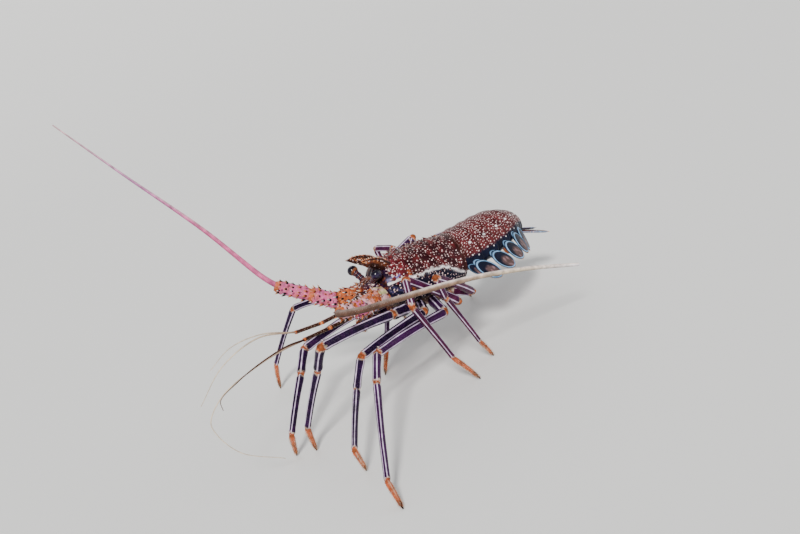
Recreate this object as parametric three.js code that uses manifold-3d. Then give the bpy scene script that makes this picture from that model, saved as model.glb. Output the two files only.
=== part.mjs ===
// Spiny lobster, stripe-legged kind, standing on its ten legs with the head toward -X.
// Sizes are in millimetres, +Z is up, the animal's left side is toward -Y, the floor is z = 0.

import * as THREE from 'three';
import { mergeVertices } from 'three/addons/utils/BufferGeometryUtils.js';
import Module from 'manifold-3d';

const wasm = await Module();
wasm.setup();

// Driving sizes: shell is the length from the front of the head to the rear rim of the carapace
const shell = 100;
const bodyHeight = 102;
const bodyForward = 6;
const bodyPitch = -10;
const gap = 0.35;
const plateThickness = 2.4;
const finThickness = 2;
const leafThickness = 1.2;
const modelShift = new THREE.Vector3(23, 12, 0);

const degree = Math.PI / 180;
const sides = { left: -1, right: 1 };
const up = new THREE.Vector3(0, 0, 1);

// Colours and finishes
function finish(name, colour, roughness) {
  const material = new THREE.MeshStandardMaterial({ color: colour, roughness, metalness: 0 });
  material.name = name;
  return material;
}

const shellRed = finish('shell_red', '#5a1f1c', 0.35);
const tailBrown = finish('tail_brown', '#56241c', 0.35);
const legPurple = finish('leg_purple', '#2a1226', 0.32);
const feelerPink = finish('feeler_pink', '#c0708c', 0.4);
const feelerTan = finish('feeler_tan', '#b98b6c', 0.45);
const feelerPale = finish('feeler_pale', '#cdbfae', 0.45);
const bellyOrange = finish('belly_orange', '#9c4c28', 0.45);
const finRed = finish('fin_red', '#6b2a20', 0.4);
const eyeDark = finish('eye_dark', '#160f1c', 0.12);

// Solids: closed triangle meshes joined and cut by boolean steps
function solidOf(geometry) {
  const bare = geometry.clone();
  bare.deleteAttribute('normal');
  bare.deleteAttribute('uv');
  const merged = mergeVertices(bare, 1e-5);
  const mesh = new wasm.Mesh({
    numProp: 3,
    vertProperties: new Float32Array(merged.attributes.position.array),
    triVerts: new Uint32Array(merged.index.array),
  });
  return new wasm.Manifold(mesh);
}

function geometryOf(solid) {
  const mesh = solid.getMesh();
  const geometry = new THREE.BufferGeometry();
  geometry.setAttribute('position', new THREE.BufferAttribute(mesh.vertProperties, 3));
  geometry.setIndex(new THREE.BufferAttribute(mesh.triVerts, 1));
  return geometry;
}

function largest(solid) {
  const pieces = solid.decompose();
  const best = pieces.reduce((most, piece) => (piece.volume() > most.volume() ? piece : most));
  pieces.filter((piece) => piece !== best).forEach((piece) => piece.delete());
  solid.delete();
  return best;
}

function fuse(pieces) {
  const whole = largest(wasm.Manifold.union(pieces));
  pieces.forEach((piece) => piece.delete());
  return whole;
}

// A piece grown into its neighbours is cut clear of them, with the seam gap left all round.
const seamSteps = [[0, 0, 0], [0.8, 0.8, 0.8], [-0.8, -0.8, 0.8], [-0.8, 0.8, -0.8], [0.8, -0.8, -0.8]];

function seat(solid, neighbours, steps = seamSteps) {
  let rest = solid;
  for (const neighbour of neighbours) {
    for (const step of steps) {
      const copy = neighbour.translate(step.map((share) => share * gap));
      const cut = largest(rest.subtract(copy));
      copy.delete();
      rest.delete();
      rest = cut;
    }
  }
  return rest;
}

// What would sink below the floor is cut off level with it, which leaves a small flat.
function trimAtFloor(solid) {
  const slab = new THREE.BoxGeometry(12 * shell, 12 * shell, shell);
  slab.translate(0, 0, -shell / 2);
  const cutter = solidOf(slab);
  const rest = largest(wasm.Manifold.difference([solid, cutter]));
  solid.delete();
  cutter.delete();
  return rest;
}

// Skin over a row of rings of equal count, closed at both ends by a fan
function loft(rings) {
  const count = rings[0].length;
  const points = rings.flat();
  const first = points.length;
  for (const ring of [rings[0], rings[rings.length - 1]]) {
    const middle = ring.reduce((sum, p) => sum.add(p), new THREE.Vector3());
    points.push(middle.divideScalar(count));
  }
  const faces = [];
  for (let row = 0; row < rings.length - 1; row += 1) {
    for (let i = 0; i < count; i += 1) {
      const next = (i + 1) % count;
      const a = row * count + i;
      const b = row * count + next;
      faces.push(a, b, b + count, a, b + count, a + count);
    }
  }
  const lastRow = (rings.length - 1) * count;
  for (let i = 0; i < count; i += 1) {
    const next = (i + 1) % count;
    faces.push(first, next, i);
    faces.push(first + 1, lastRow + i, lastRow + next);
  }
  return outwardSkin(points, faces);
}

function outwardSkin(points, faces) {
  let volume = 0;
  for (let i = 0; i < faces.length; i += 3) {
    const [a, b, c] = [points[faces[i]], points[faces[i + 1]], points[faces[i + 2]]];
    volume += a.dot(b.clone().cross(c));
  }
  if (volume < 0) faces.reverse();
  const geometry = new THREE.BufferGeometry();
  const positions = new Float32Array(points.flatMap((p) => [p.x, p.y, p.z]));
  geometry.setAttribute('position', new THREE.BufferAttribute(positions, 3));
  geometry.setIndex(faces);
  return geometry;
}

// Round tube through a list of stations, each { at, radius }, its rings square to the path
function tube(stations, count) {
  const path = stations.map((station) => station.at);
  let across = null;
  const rings = stations.map(({ at, radius }, i) => {
    const before = path[Math.max(i - 1, 0)];
    const after = path[Math.min(i + 1, path.length - 1)];
    const along = after.clone().sub(before).normalize();
    const start = across ?? (Math.abs(along.z) > 0.9 ? new THREE.Vector3(1, 0, 0) : up);
    across = start.clone().addScaledVector(along, -start.dot(along)).normalize();
    const third = along.clone().cross(across);
    const ring = [];
    for (let k = 0; k < count; k += 1) {
      const angle = (2 * Math.PI * k) / count;
      const point = at.clone();
      point.addScaledVector(across, radius * Math.cos(angle));
      point.addScaledVector(third, radius * Math.sin(angle));
      ring.push(point);
    }
    return ring;
  });
  return solidOf(loft(rings));
}

// Jointed limb: each stretch swells near its ends and is pinched at the joints
const limbProfile = [[0, 0.8], [0.12, 1], [0.86, 1.04], [1, 0.84]];

function limb(joints, radii, count) {
  const stations = [];
  for (let i = 0; i < joints.length - 1; i += 1) {
    for (const [share, swell] of limbProfile) {
      if (i > 0 && share === 0) continue;
      const radius = THREE.MathUtils.lerp(radii[i], radii[i + 1], share);
      stations.push({ at: joints[i].clone().lerp(joints[i + 1], share), radius: radius * swell });
    }
  }
  return tube(stations, count);
}

// Long tapering feeler along a smooth curve
function feeler(points, rootRadius, tipRadius, steps, count) {
  const curve = new THREE.CatmullRomCurve3(points, false, 'centripetal');
  const stations = [];
  for (let i = 0; i <= steps; i += 1) {
    const share = i / steps;
    const radius = THREE.MathUtils.lerp(rootRadius, tipRadius, share);
    stations.push({ at: curve.getPoint(share), radius });
  }
  return tube(stations, count);
}

// Pointed four-sided spine standing on a surface, its root sunk in
const spineSides = 4;
const spineSlimness = 0.24;

function spine(root, direction, length) {
  const sunk = 0.4 * length + 1;
  const radius = spineSlimness * length + 0.4;
  const cone = new THREE.ConeGeometry(radius, length + sunk, spineSides, 1);
  cone.rotateX(Math.PI / 2);
  cone.translate(0, 0, (length - sunk) / 2);
  const turn = new THREE.Quaternion().setFromUnitVectors(up, direction.clone().normalize());
  cone.applyQuaternion(turn);
  cone.translate(root.x, root.y, root.z);
  return solidOf(cone);
}

// Seeded draw between two bounds
let seed = 7;

function draw(low, high) {
  seed = (seed * 16807) % 2147483647;
  return low + ((high - low) * seed) / 2147483647;
}

// Smooth value read between evenly spaced knots
function between(knots, share) {
  const place = THREE.MathUtils.clamp(share, 0, 1) * (knots.length - 1);
  const cell = Math.min(Math.floor(place), knots.length - 2);
  const part = place - cell;
  const before = knots[Math.max(cell - 1, 0)];
  const after = knots[Math.min(cell + 2, knots.length - 1)];
  const a = knots[cell];
  const b = knots[cell + 1];
  const slopeA = (b - before) / 2;
  const slopeB = (after - a) / 2;
  const cubic = 2 * part ** 3 - 3 * part ** 2;
  const ease = part ** 3 - 2 * part ** 2 + part;
  return (cubic + 1) * a + ease * slopeA - cubic * b + (part ** 3 - part ** 2) * slopeB;
}

// Body frame: tailward, rightward and upward shares of the carapace length from its middle
const tailward = new THREE.Vector3(Math.cos(bodyPitch * degree), 0, Math.sin(bodyPitch * degree));
const rightward = new THREE.Vector3(0, 1, 0);
const dorsal = tailward.clone().cross(rightward);
const bodyMiddle = new THREE.Vector3(bodyForward, 0, bodyHeight);

function bodyPoint(tail, right, rise) {
  const point = bodyMiddle.clone();
  point.addScaledVector(tailward, tail * shell);
  point.addScaledVector(rightward, right * shell);
  return point.addScaledVector(dorsal, rise * shell);
}

function spot(x, y, z) {
  return new THREE.Vector3(x, y, z);
}

// Parts collected as named nodes
const model = new THREE.Group();
const solids = {};

function addPart(name, solid, material) {
  solids[name] = solid;
  const mesh = new THREE.Mesh(geometryOf(solid), material);
  mesh.name = name;
  mesh.position.copy(modelShift);
  model.add(mesh);
}

// Carapace: domed shield with a groove across it, a raised rear rim, two horns and spines.
// Widths, tops and floors are shares of the shell length, read from its front to its rear.
const shieldWidths = [0.215, 0.285, 0.335, 0.36, 0.36, 0.335];
const shieldTops = [0.17, 0.25, 0.29, 0.305, 0.305, 0.285];
const shieldFloors = [0.16, 0.22, 0.245, 0.25, 0.24, 0.2];
const grooveDepth = 0.045;
const rimRise = 0.03;

// The front edge runs lower and further forward at the sides than between the horns.
function shieldFront(angle) {
  return 0.125 + 0.025 * Math.sin(angle);
}

function shieldPoint(share, angle) {
  const side = Math.cos(angle);
  const rise = Math.sin(angle);
  const groovePlace = 0.5 - 0.16 * (1 - Math.max(rise, 0)) ** 1.5;
  const groove = grooveDepth * Math.exp(-(((share - groovePlace) / 0.028) ** 2));
  const rim = rimRise * Math.exp(-(((share - 0.985) / 0.02) ** 2));
  const rimGroove = 0.6 * rimRise * Math.exp(-(((share - 0.935) / 0.02) ** 2));
  const scale = 1 + (rise > -0.2 ? rim - rimGroove - groove : 0);
  const width = between(shieldWidths, share) * scale;
  if (rise >= 0) {
    return bodyPoint(share - 0.5, width * side, between(shieldTops, share) * rise * scale);
  }
  const squared = Math.sign(side) * Math.abs(side) ** 0.7;
  const drop = between(shieldFloors, share) * Math.abs(rise) ** 0.75;
  return bodyPoint(share - 0.5, width * squared * (1 - 0.12 * Math.abs(rise)), -drop);
}

function shieldNormal(share, angle) {
  const step = 0.02;
  const along = shieldPoint(share + step, angle).sub(shieldPoint(share - step, angle));
  const around = shieldPoint(share, angle + step).sub(shieldPoint(share, angle - step));
  return around.cross(along).normalize();
}

function makeShield() {
  const rows = 23;
  const around = 24;
  const rings = [];
  for (let row = 0; row <= rows; row += 1) {
    const ring = [];
    for (let i = 0; i < around; i += 1) {
      const angle = (2 * Math.PI * i) / around;
      ring.push(shieldPoint(THREE.MathUtils.lerp(shieldFront(angle), 1, row / rows), angle));
    }
    rings.push(ring);
  }
  return solidOf(loft(rings));
}

function makeHorn(side) {
  const joints = [[-0.27, 0.12, 0.2], [-0.38, 0.135, 0.275], [-0.52, 0.14, 0.32], [-0.64, 0.145, 0.375]];
  const radii = [6, 5.6, 3.6, 0.5];
  const stations = joints.map(([tail, right, rise], i) => {
    return { at: bodyPoint(tail, side * right, rise), radius: radii[i] };
  });
  return tube(stations, 8);
}

// Spines stand in rows at these heights round the shield, in degrees, the longest in front.
const spineRows = [22, 42, 60, 78];
const spinesPerRow = 7;
const longestSpine = 7.5;
const shortestSpine = 2.6;

function shieldSpines() {
  const spines = [];
  for (const rowAngle of spineRows) {
    for (let i = 0; i < spinesPerRow; i += 1) {
      for (const side of [-1, 1]) {
        const share = 0.2 + (0.7 * i) / (spinesPerRow - 1) + draw(-0.02, 0.02);
        const lift = (rowAngle + draw(-4, 4)) * degree;
        const angle = side > 0 ? lift : Math.PI - lift;
        const length = THREE.MathUtils.lerp(longestSpine, shortestSpine, share) * draw(0.85, 1.15);
        const outward = shieldNormal(share, angle);
        const direction = outward.addScaledVector(tailward, -0.9);
        spines.push(spine(shieldPoint(share, angle), direction, length));
      }
    }
  }
  return spines;
}

addPart('carapace', fuse([makeShield(), makeHorn(-1), makeHorn(1), ...shieldSpines()]), shellRed);

// Front of the head: the plate that carries the eyes, both pairs of feelers and the mouth edge
const socketRadius = 10.5;
const headThorn = 7;

function makeHeadFront() {
  const plate = new THREE.SphereGeometry(1, 14, 9);
  plate.scale(0.17 * shell, 0.21 * shell, 0.16 * shell);
  plate.rotateY(-bodyPitch * degree);
  const middle = bodyPoint(-0.43, 0, -0.03);
  plate.translate(middle.x, middle.y, middle.z);
  const pieces = [solidOf(plate)];
  for (const side of [-1, 1]) {
    const inner = bodyPoint(-0.38, side * 0.14, -0.06);
    const outer = bodyPoint(-0.53, side * 0.2, -0.04);
    pieces.push(tube([{ at: inner, radius: socketRadius }, { at: outer, radius: socketRadius }], 10));
    const thorn = bodyPoint(-0.58, side * 0.06, 0.04);
    pieces.push(spine(thorn, new THREE.Vector3(-1, side * 0.3, 0.5), headThorn));
  }
  return fuse(pieces);
}

addPart('head_front', seat(makeHeadFront(), [solids.carapace], [[-1, 0, 0.2]]), shellRed);

// Eyes: a dark ball on a short stalk under each horn, the left one swung back
const eyePlaces = { left: [-0.455, -0.225, 0.19], right: [-0.52, 0.195, 0.2] };
const eyeRadii = [5.8, 5.2, 5.2];
const stalkRadii = [3, 3.8];

function makeEye(sideName) {
  const middle = bodyPoint(...eyePlaces[sideName]);
  const root = bodyPoint(-0.46, sides[sideName] * 0.08, 0.08);
  const ball = new THREE.SphereGeometry(1, 12, 8);
  ball.scale(...eyeRadii);
  ball.translate(middle.x, middle.y, middle.z);
  const stalk = tube([{ at: root, radius: stalkRadii[0] }, { at: middle, radius: stalkRadii[1] }], 10);
  return fuse([stalk, solidOf(ball)]);
}

for (const sideName of Object.keys(sides)) {
  const eye = seat(makeEye(sideName), [solids.carapace, solids.head_front]);
  addPart(`eye_${sideName}`, eye, eyeDark);
}

// Breastplate between the leg roots
const sternumWidths = [0.09, 0.15, 0.2, 0.225, 0.2];
const sternumDepth = 0.085;

function makeSternum() {
  const rows = 8;
  const around = 12;
  const rings = [];
  for (let row = 0; row <= rows; row += 1) {
    const share = row / rows;
    const width = between(sternumWidths, share);
    const ring = [];
    for (let i = 0; i < around; i += 1) {
      const angle = (2 * Math.PI * i) / around;
      const rise = -0.25 + sternumDepth * Math.sin(angle);
      ring.push(bodyPoint(-0.32 + 0.78 * share, width * Math.cos(angle), rise));
    }
    rings.push(ring);
  }
  return solidOf(loft(rings));
}

addPart('sternum', seat(makeSternum(), [solids.carapace], [[0, 0, -1]]), bellyOrange);

// Big feelers: three spiny stem joints and a long whip on each side
const feelerStems = {
  left: [bodyPoint(-0.5, -0.19, -0.04), spot(-68, -37, 111), spot(-81, -44, 118), spot(-96, -52, 125)],
  right: [bodyPoint(-0.5, 0.19, -0.04), spot(-66, 33, 106), spot(-88, 41, 125), spot(-114, 52, 147)],
};
const stemRadii = [9.6, 9, 7.6, 6.2];
const stemNames = ['base', 'middle', 'end'];
const whipRoutes = {
  left: [
    spot(-92, -50, 123), spot(-99, -60, 127), spot(-98, -76, 130), spot(-84, -94, 130),
    spot(-55, -104, 126), spot(9, -104, 110), spot(72, -104, 88), spot(135, -104, 60),
  ],
  right: [
    spot(-110, 50, 144), spot(-120, 55, 160), spot(-149, 76, 227), spot(-192, 104, 310),
    spot(-226, 120, 376),
  ],
};
const whipRadii = { left: [3.6, 1.7], right: [3, 0.6] };
const stemSpineShares = [0.3, 0.62, 0.86];
const stemSpinesAround = 5;

function makeStem(from, to, radiusFrom, radiusTo) {
  const along = to.clone().sub(from);
  const stem = limb([from, to], [radiusFrom, radiusTo], 10);
  const across = along.clone().cross(up).normalize();
  const over = across.clone().cross(along).normalize();
  const heading = along.clone().normalize();
  const spines = [];
  for (let k = 0; k < stemSpinesAround; k += 1) {
    for (const share of stemSpineShares) {
      const halfStep = share === stemSpineShares[1] ? 0.5 : 0;
      const angle = ((k + halfStep) / stemSpinesAround) * 2 * Math.PI + draw(-0.15, 0.15);
      const outward = across.clone().multiplyScalar(Math.cos(angle)).addScaledVector(over, Math.sin(angle));
      const radius = THREE.MathUtils.lerp(radiusFrom, radiusTo, share) * 0.86;
      const root = from.clone().addScaledVector(along, share).addScaledVector(outward, radius);
      spines.push(spine(root, outward.clone().addScaledVector(heading, 0.8), draw(2.8, 4.2)));
    }
  }
  return fuse([stem, ...spines]);
}

for (const sideName of Object.keys(sides)) {
  const joints = feelerStems[sideName];
  let carrier = [solids.head_front, solids.carapace];
  stemNames.forEach((stemName, i) => {
    const heading = joints[i + 1].clone().sub(joints[i]).normalize();
    const root = joints[i].clone().addScaledVector(heading, -0.35 * stemRadii[i]);
    const stem = makeStem(root, joints[i + 1], stemRadii[i], stemRadii[i + 1]);
    const name = `antenna_${sideName}_${stemName}`;
    addPart(name, seat(stem, carrier), sideName === 'left' ? bellyOrange : feelerPink);
    carrier = [solids[name]];
  });
  const route = whipRoutes[sideName];
  const [rootRadius, tipRadius] = whipRadii[sideName];
  const whip = feeler(route, rootRadius, tipRadius, 21, 7);
  addPart(`antenna_${sideName}_whip`, seat(whip, carrier), sideName === 'left' ? feelerTan : feelerPink);
}

// Small feelers: a thin three-jointed stem and two fine whips on each side
const smallStems = {
  left: [bodyPoint(-0.56, -0.06, -0.03), spot(-78, -16, 101), spot(-102, -24, 106), spot(-132, -30, 111)],
  right: [bodyPoint(-0.56, 0.06, -0.03), spot(-72, 12, 100), spot(-96, 16, 100), spot(-124, 20, 104)],
};
const smallWhips = {
  left: {
    outer: [
      spot(-131, -31, 111), spot(-149, -33, 115), spot(-179, -36, 115), spot(-206, -38, 111),
      spot(-227, -39, 104), spot(-229, -40, 95),
    ],
    inner: [
      spot(-131, -28.5, 110), spot(-150, -26, 111), spot(-180, -25, 110), spot(-222, -28, 103),
      spot(-242, -30, 88), spot(-243, -30, 76), spot(-231, -29, 46), spot(-196, -26, 15),
    ],
  },
  right: {
    outer: [spot(-123, 21.5, 104), spot(-158, 27, 116), spot(-201, 34, 106), spot(-236, 38, 80)],
    inner: [spot(-123, 18.5, 104), spot(-156, 14, 122), spot(-190, 10, 127), spot(-216, 8, 118)],
  },
};

const smallStemRadii = [2.6, 2.3, 2, 1.9];
const smallWhipRadii = { outer: 1, inner: 0.75 };
const smallWhipTip = 0.32;

for (const sideName of Object.keys(sides)) {
  const stemName = `antennule_${sideName}`;
  const joints = smallStems[sideName];
  const carriers = [solids.head_front, solids.carapace];
  addPart(stemName, seat(limb(joints, smallStemRadii, 8), carriers), bellyOrange);
  for (const [whipName, route] of Object.entries(smallWhips[sideName])) {
    const whip = feeler(route, smallWhipRadii[whipName], smallWhipTip, 17, 5);
    addPart(`${stemName}_${whipName}`, seat(whip, [solids[stemName]]), feelerPale);
  }
}

// Mouth legs: a short pair folded forward under the head
const mouthLegRadii = [3.6, 3.8, 3.4, 2.8, 1.1];

for (const [sideName, side] of Object.entries(sides)) {
  const joints = [
    bodyPoint(-0.28, side * 0.06, -0.27),
    bodyPoint(-0.42, side * 0.085, -0.3),
    bodyPoint(-0.58, side * 0.075, -0.24),
    bodyPoint(-0.66, side * 0.05, -0.3),
    bodyPoint(-0.64, side * 0.04, -0.38),
  ];
  const piece = limb(joints, mouthLegRadii, 8);
  const carriers = [solids.carapace, solids.sternum, solids.head_front];
  addPart(`mouth_leg_${sideName}`, seat(piece, carriers), legPurple);
}

// Walking legs
// Each pair: carapace shares of the wrist, shin and toe lengths, and where the hip sits
const legPairs = [
  { hip: -0.2, wrist: 0.3, shin: 0.64, toe: 0.28, thickness: 1.1 },
  { hip: -0.04, wrist: 0.33, shin: 0.8, toe: 0.32, thickness: 1 },
  { hip: 0.1, wrist: 0.35, shin: 1, toe: 0.27, thickness: 1 },
  { hip: 0.24, wrist: 0.3, shin: 0.72, toe: 0.34, thickness: 0.95 },
  { hip: 0.38, wrist: 0.3, shin: 0.66, toe: 0.26, thickness: 0.85 },
];

// Pose of each leg: thigh root in body shares, knee and foot places, the toe's lean, and how far the
// wrist swings round the line from the knee to the toe joint, in degrees from straight above it
const legPoses = {
  left: [
    { root: [-0.44, -0.33, -0.22], knee: [-127, -57, 106], foot: [-164, -18], lean: [0, 5], swing: 87 },
    { root: [-0.14, -0.43, -0.28], knee: [-94, -54, 76], foot: [-150, -106], lean: [5, 11], swing: 145 },
    { root: [0.05, -0.49, -0.34], knee: [-85, -73, 78], foot: [-158, -192], lean: [-3, -20], swing: 47 },
    { root: [0.24, -0.47, -0.29], knee: [-21, -51, 119], foot: [0, -80], lean: [13, -12], swing: 69 },
    { root: [0.46, -0.4, -0.27], knee: [-1, -74, 114], foot: [35, -54], lean: [10, 4], swing: -77 },
  ],
  right: [
    { root: [-0.4, 0.4, -0.28], knee: [-118, 38, 77], foot: [-181, -4], lean: [-2, 10], swing: -49 },
    { root: [-0.12, 0.45, -0.3], knee: [-63, 104, 94], foot: [-131, 168], lean: [-6, 6], swing: 0 },
    { root: [0.1, 0.45, -0.3], knee: [54, 65, 115], foot: [-47, 45], lean: [-14, -4], swing: 29 },
    { root: [0.28, 0.44, -0.29], knee: [46, 110, 100], foot: [40, 150], lean: [2, 16], swing: 0 },
    { root: [0.46, 0.38, -0.27], knee: [85, 82, 96], foot: [112, 104], lean: [8, 10], swing: 0 },
  ],
};
const upperLegRadii = [6.2, 5, 4.1];
const lowerLegRadii = [4, 3.2, 2.3, 0.8];
const legSides = 8;
const kneeSpine = 4.5;

// The wrist joint is found from the two lengths between the knee and the toe joint.
function bendBetween(knee, toeJoint, upperLength, lowerLength, swing) {
  const reach = toeJoint.clone().sub(knee);
  const distance = reach.length();
  const span = Math.min(distance, 0.999 * (upperLength + lowerLength));
  const share = (upperLength ** 2 - lowerLength ** 2 + span ** 2) / (2 * span);
  const bow = Math.sqrt(Math.max(upperLength ** 2 - share ** 2, 0));
  reach.normalize();
  const outward = up.clone().addScaledVector(reach, -up.dot(reach)).normalize();
  outward.applyAxisAngle(reach, swing * degree);
  const middle = knee.clone().addScaledVector(reach, (share * distance) / span);
  return middle.addScaledVector(outward, bow);
}

function legJoints(pair, pose, side) {
  const toeLength = pair.toe * shell;
  const foot = new THREE.Vector3(pose.foot[0], pose.foot[1], 0);
  const lean = new THREE.Vector3(pose.lean[0], pose.lean[1], 0);
  const toeJoint = foot.clone().sub(lean);
  toeJoint.z = Math.sqrt(toeLength ** 2 - lean.lengthSq());
  const knee = new THREE.Vector3(...pose.knee);
  return {
    hip: bodyPoint(pair.hip, side * 0.17, -0.27),
    root: bodyPoint(...pose.root),
    knee,
    wrist: bendBetween(knee, toeJoint, pair.wrist * shell, pair.shin * shell, pose.swing),
    toeJoint,
    foot,
  };
}

function makeUpperLeg(joints, thickness) {
  const radii = upperLegRadii.map((radius) => radius * thickness);
  const thigh = limb([joints.hip, joints.root, joints.knee], radii, legSides);
  const heading = joints.knee.clone().sub(joints.root).normalize();
  const top = up.clone().addScaledVector(heading, -up.dot(heading)).normalize();
  const crest = joints.knee.clone().addScaledVector(heading, -6).addScaledVector(top, 3);
  return fuse([thigh, spine(crest, top.addScaledVector(heading, 1.4), kneeSpine)]);
}

function makeLowerLeg(joints, thickness) {
  const below = joints.foot.clone().sub(joints.toeJoint).setLength(2).add(joints.foot);
  const radii = lowerLegRadii.map((radius) => radius * thickness);
  const lower = limb([joints.knee, joints.wrist, joints.toeJoint, below], radii, legSides);
  return trimAtFloor(lower);
}

for (const [sideName, side] of Object.entries(sides)) {
  legPairs.forEach((pair, i) => {
    const joints = legJoints(pair, legPoses[sideName][i], side);
    const name = `leg_${sideName}_${i + 1}`;
    const upper = seat(makeUpperLeg(joints, pair.thickness), [solids.carapace, solids.sternum]);
    addPart(`${name}_upper`, upper, legPurple);
    const lower = seat(makeLowerLeg(joints, pair.thickness), [upper]);
    addPart(`${name}_lower`, lower, legPurple);
  });
}

// Tail: six ringed plates, each with a side lobe, curving toward the right side
const tailRings = [
  { length: 0.16, width: 0.345, top: 0.285, turn: 5, pitch: -8 },
  { length: 0.19, width: 0.345, top: 0.295, turn: 11, pitch: -5 },
  { length: 0.185, width: 0.335, top: 0.295, turn: 20, pitch: -4 },
  { length: 0.18, width: 0.32, top: 0.285, turn: 30, pitch: -5 },
  { length: 0.17, width: 0.3, top: 0.26, turn: 40, pitch: -12 },
  { length: 0.2, width: 0.27, top: 0.225, turn: 48, pitch: -22 },
];
const tailFloor = 0.14;

function frameOf(origin, turn, pitch) {
  const along = new THREE.Vector3(
    Math.cos(pitch * degree) * Math.cos(turn * degree),
    Math.cos(pitch * degree) * Math.sin(turn * degree),
    Math.sin(pitch * degree),
  );
  const right = new THREE.Vector3(-Math.sin(turn * degree), Math.cos(turn * degree), 0);
  return { origin, along, right, rise: along.clone().cross(right) };
}

function inFrame(frame, tail, right, rise) {
  const point = frame.origin.clone();
  point.addScaledVector(frame.along, tail * shell);
  point.addScaledVector(frame.right, right * shell);
  return point.addScaledVector(frame.rise, rise * shell);
}

const ringProfile = [[0, 0.95], [0.16, 0.955], [0.26, 1], [0.52, 1], [0.6, 0.98], [0.7, 1.01], [1, 1.025]];
const seamShare = gap / (2 * shell);

const ringFrames = [];
let ringStart = bodyPoint(0.5, 0, 0.02);
for (const ring of tailRings) {
  const frame = frameOf(ringStart, ring.turn, ring.pitch);
  ringFrames.push(frame);
  ringStart = inFrame(frame, ring.length, 0, 0);
}
const lastTailRing = tailRings[tailRings.length - 1];
const fanFrame = frameOf(ringStart, lastTailRing.turn + 3, lastTailRing.pitch - 4);
const shieldEnd = { origin: bodyPoint(0.5, 0, 0.02), along: tailward, right: rightward, rise: dorsal };
const seamFrames = [shieldEnd];
for (let i = 1; i < ringFrames.length; i += 1) {
  const [before, after] = [tailRings[i - 1], tailRings[i]];
  const turn = (before.turn + after.turn) / 2;
  seamFrames.push(frameOf(ringFrames[i].origin, turn, (before.pitch + after.pitch) / 2));
}
seamFrames.push(fanFrame);

// Frame part of the way from a ring's front seam to its rear seam
function ringFrameAt(i, share) {
  const [start, end] = [seamFrames[i], seamFrames[i + 1]];
  const along = start.along.clone().lerp(end.along, share).normalize();
  const right = start.right.clone().lerp(end.right, share).normalize();
  const origin = start.origin.clone().addScaledVector(start.along, seamShare * shell);
  const rear = end.origin.clone().addScaledVector(end.along, -seamShare * shell);
  return { origin: origin.lerp(rear, share), along, right, rise: along.clone().cross(right) };
}

function tailSection(frame, width, top, angle) {
  const side = Math.cos(angle);
  const rise = Math.sin(angle);
  if (rise >= 0) return inFrame(frame, 0, width * side, top * rise);
  const squared = Math.sign(side) * Math.abs(side) ** 0.7;
  return inFrame(frame, 0, width * squared, -tailFloor * Math.abs(rise) ** 0.75);
}

function makeRing(i) {
  const ring = tailRings[i];
  const next = tailRings[Math.min(i + 1, tailRings.length - 1)];
  const around = 20;
  const rings = ringProfile.map(([share, swell]) => {
    const frame = ringFrameAt(i, share);
    const width = THREE.MathUtils.lerp(ring.width, next.width, share) * swell;
    const top = THREE.MathUtils.lerp(ring.top, next.top, share) * swell;
    const points = [];
    for (let k = 0; k < around; k += 1) {
      points.push(tailSection(frame, width, top, (2 * Math.PI * k) / around));
    }
    return points;
  });
  return solidOf(loft(rings));
}

// Side lobe: an oval plate that hangs from the ring's edge and points back, small on the first ring
const lobeDepth = 0.135;
const firstLobeDepth = 0.09;

function makeLobe(i, side) {
  const ring = tailRings[i];
  const frame = ringFrameAt(i, 0.5);
  const bend = (seamFrames[i + 1].along.angleTo(seamFrames[i].along)) * ring.width;
  const long = 0.42 * (ring.length - side * bend);
  const deep = i === 0 ? firstLobeDepth : lobeDepth;
  const outline = new THREE.Shape();
  outline.absellipse(0, 0, long * shell, deep * shell, 0, 2 * Math.PI, false, 0);
  const options = { depth: plateThickness, bevelEnabled: false, curveSegments: 7 };
  const plate = new THREE.ExtrudeGeometry(outline, options);
  const shear = new THREE.Matrix4().makeShear(0, 0, -0.18, 0, 0, 0);
  plate.applyMatrix4(shear);
  const lean = frame.rise.clone().addScaledVector(frame.right, -side * 0.25).normalize();
  const outward = frame.along.clone().cross(lean).negate();
  const place = new THREE.Matrix4().makeBasis(frame.along, lean, outward);
  place.setPosition(inFrame(frame, 0, side * (ring.width - 0.02), 0.015 - deep));
  plate.translate(0, 0, -plateThickness / 2);
  plate.applyMatrix4(place);
  return solidOf(outwardGeometry(plate));
}

function outwardGeometry(geometry) {
  const bare = geometry.clone();
  bare.deleteAttribute('normal');
  bare.deleteAttribute('uv');
  const merged = mergeVertices(bare, 1e-5);
  const points = [];
  for (let i = 0; i < merged.attributes.position.count; i += 1) {
    points.push(new THREE.Vector3().fromBufferAttribute(merged.attributes.position, i));
  }
  return outwardSkin(points, Array.from(merged.index.array));
}

tailRings.forEach((ring, i) => {
  addPart(`tail_ring_${i + 1}`, fuse([makeRing(i), makeLobe(i, -1), makeLobe(i, 1)]), tailBrown);
});

// Swimmerets: a leaf under each side of the middle rings
const leafLength = 7;
const leafWidth = 4.2;

function makeSwimmeret(frame, ring, side) {
  const leaf = new THREE.Shape();
  leaf.absellipse(0, 0, leafLength, leafWidth, 0, 2 * Math.PI, false, 0);
  const options = { depth: leafThickness, bevelEnabled: false, curveSegments: 7 };
  const plate = new THREE.ExtrudeGeometry(leaf, options);
  const down = frame.rise.clone().negate().addScaledVector(frame.along, 0.55).normalize();
  const outward = down.clone().cross(frame.right).normalize();
  const place = new THREE.Matrix4().makeBasis(down, frame.right, outward);
  place.setPosition(inFrame(frame, ring.length * 0.45, side * (ring.width - 0.14), -tailFloor - 0.045));
  plate.applyMatrix4(place);
  return solidOf(outwardGeometry(plate));
}

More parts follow.
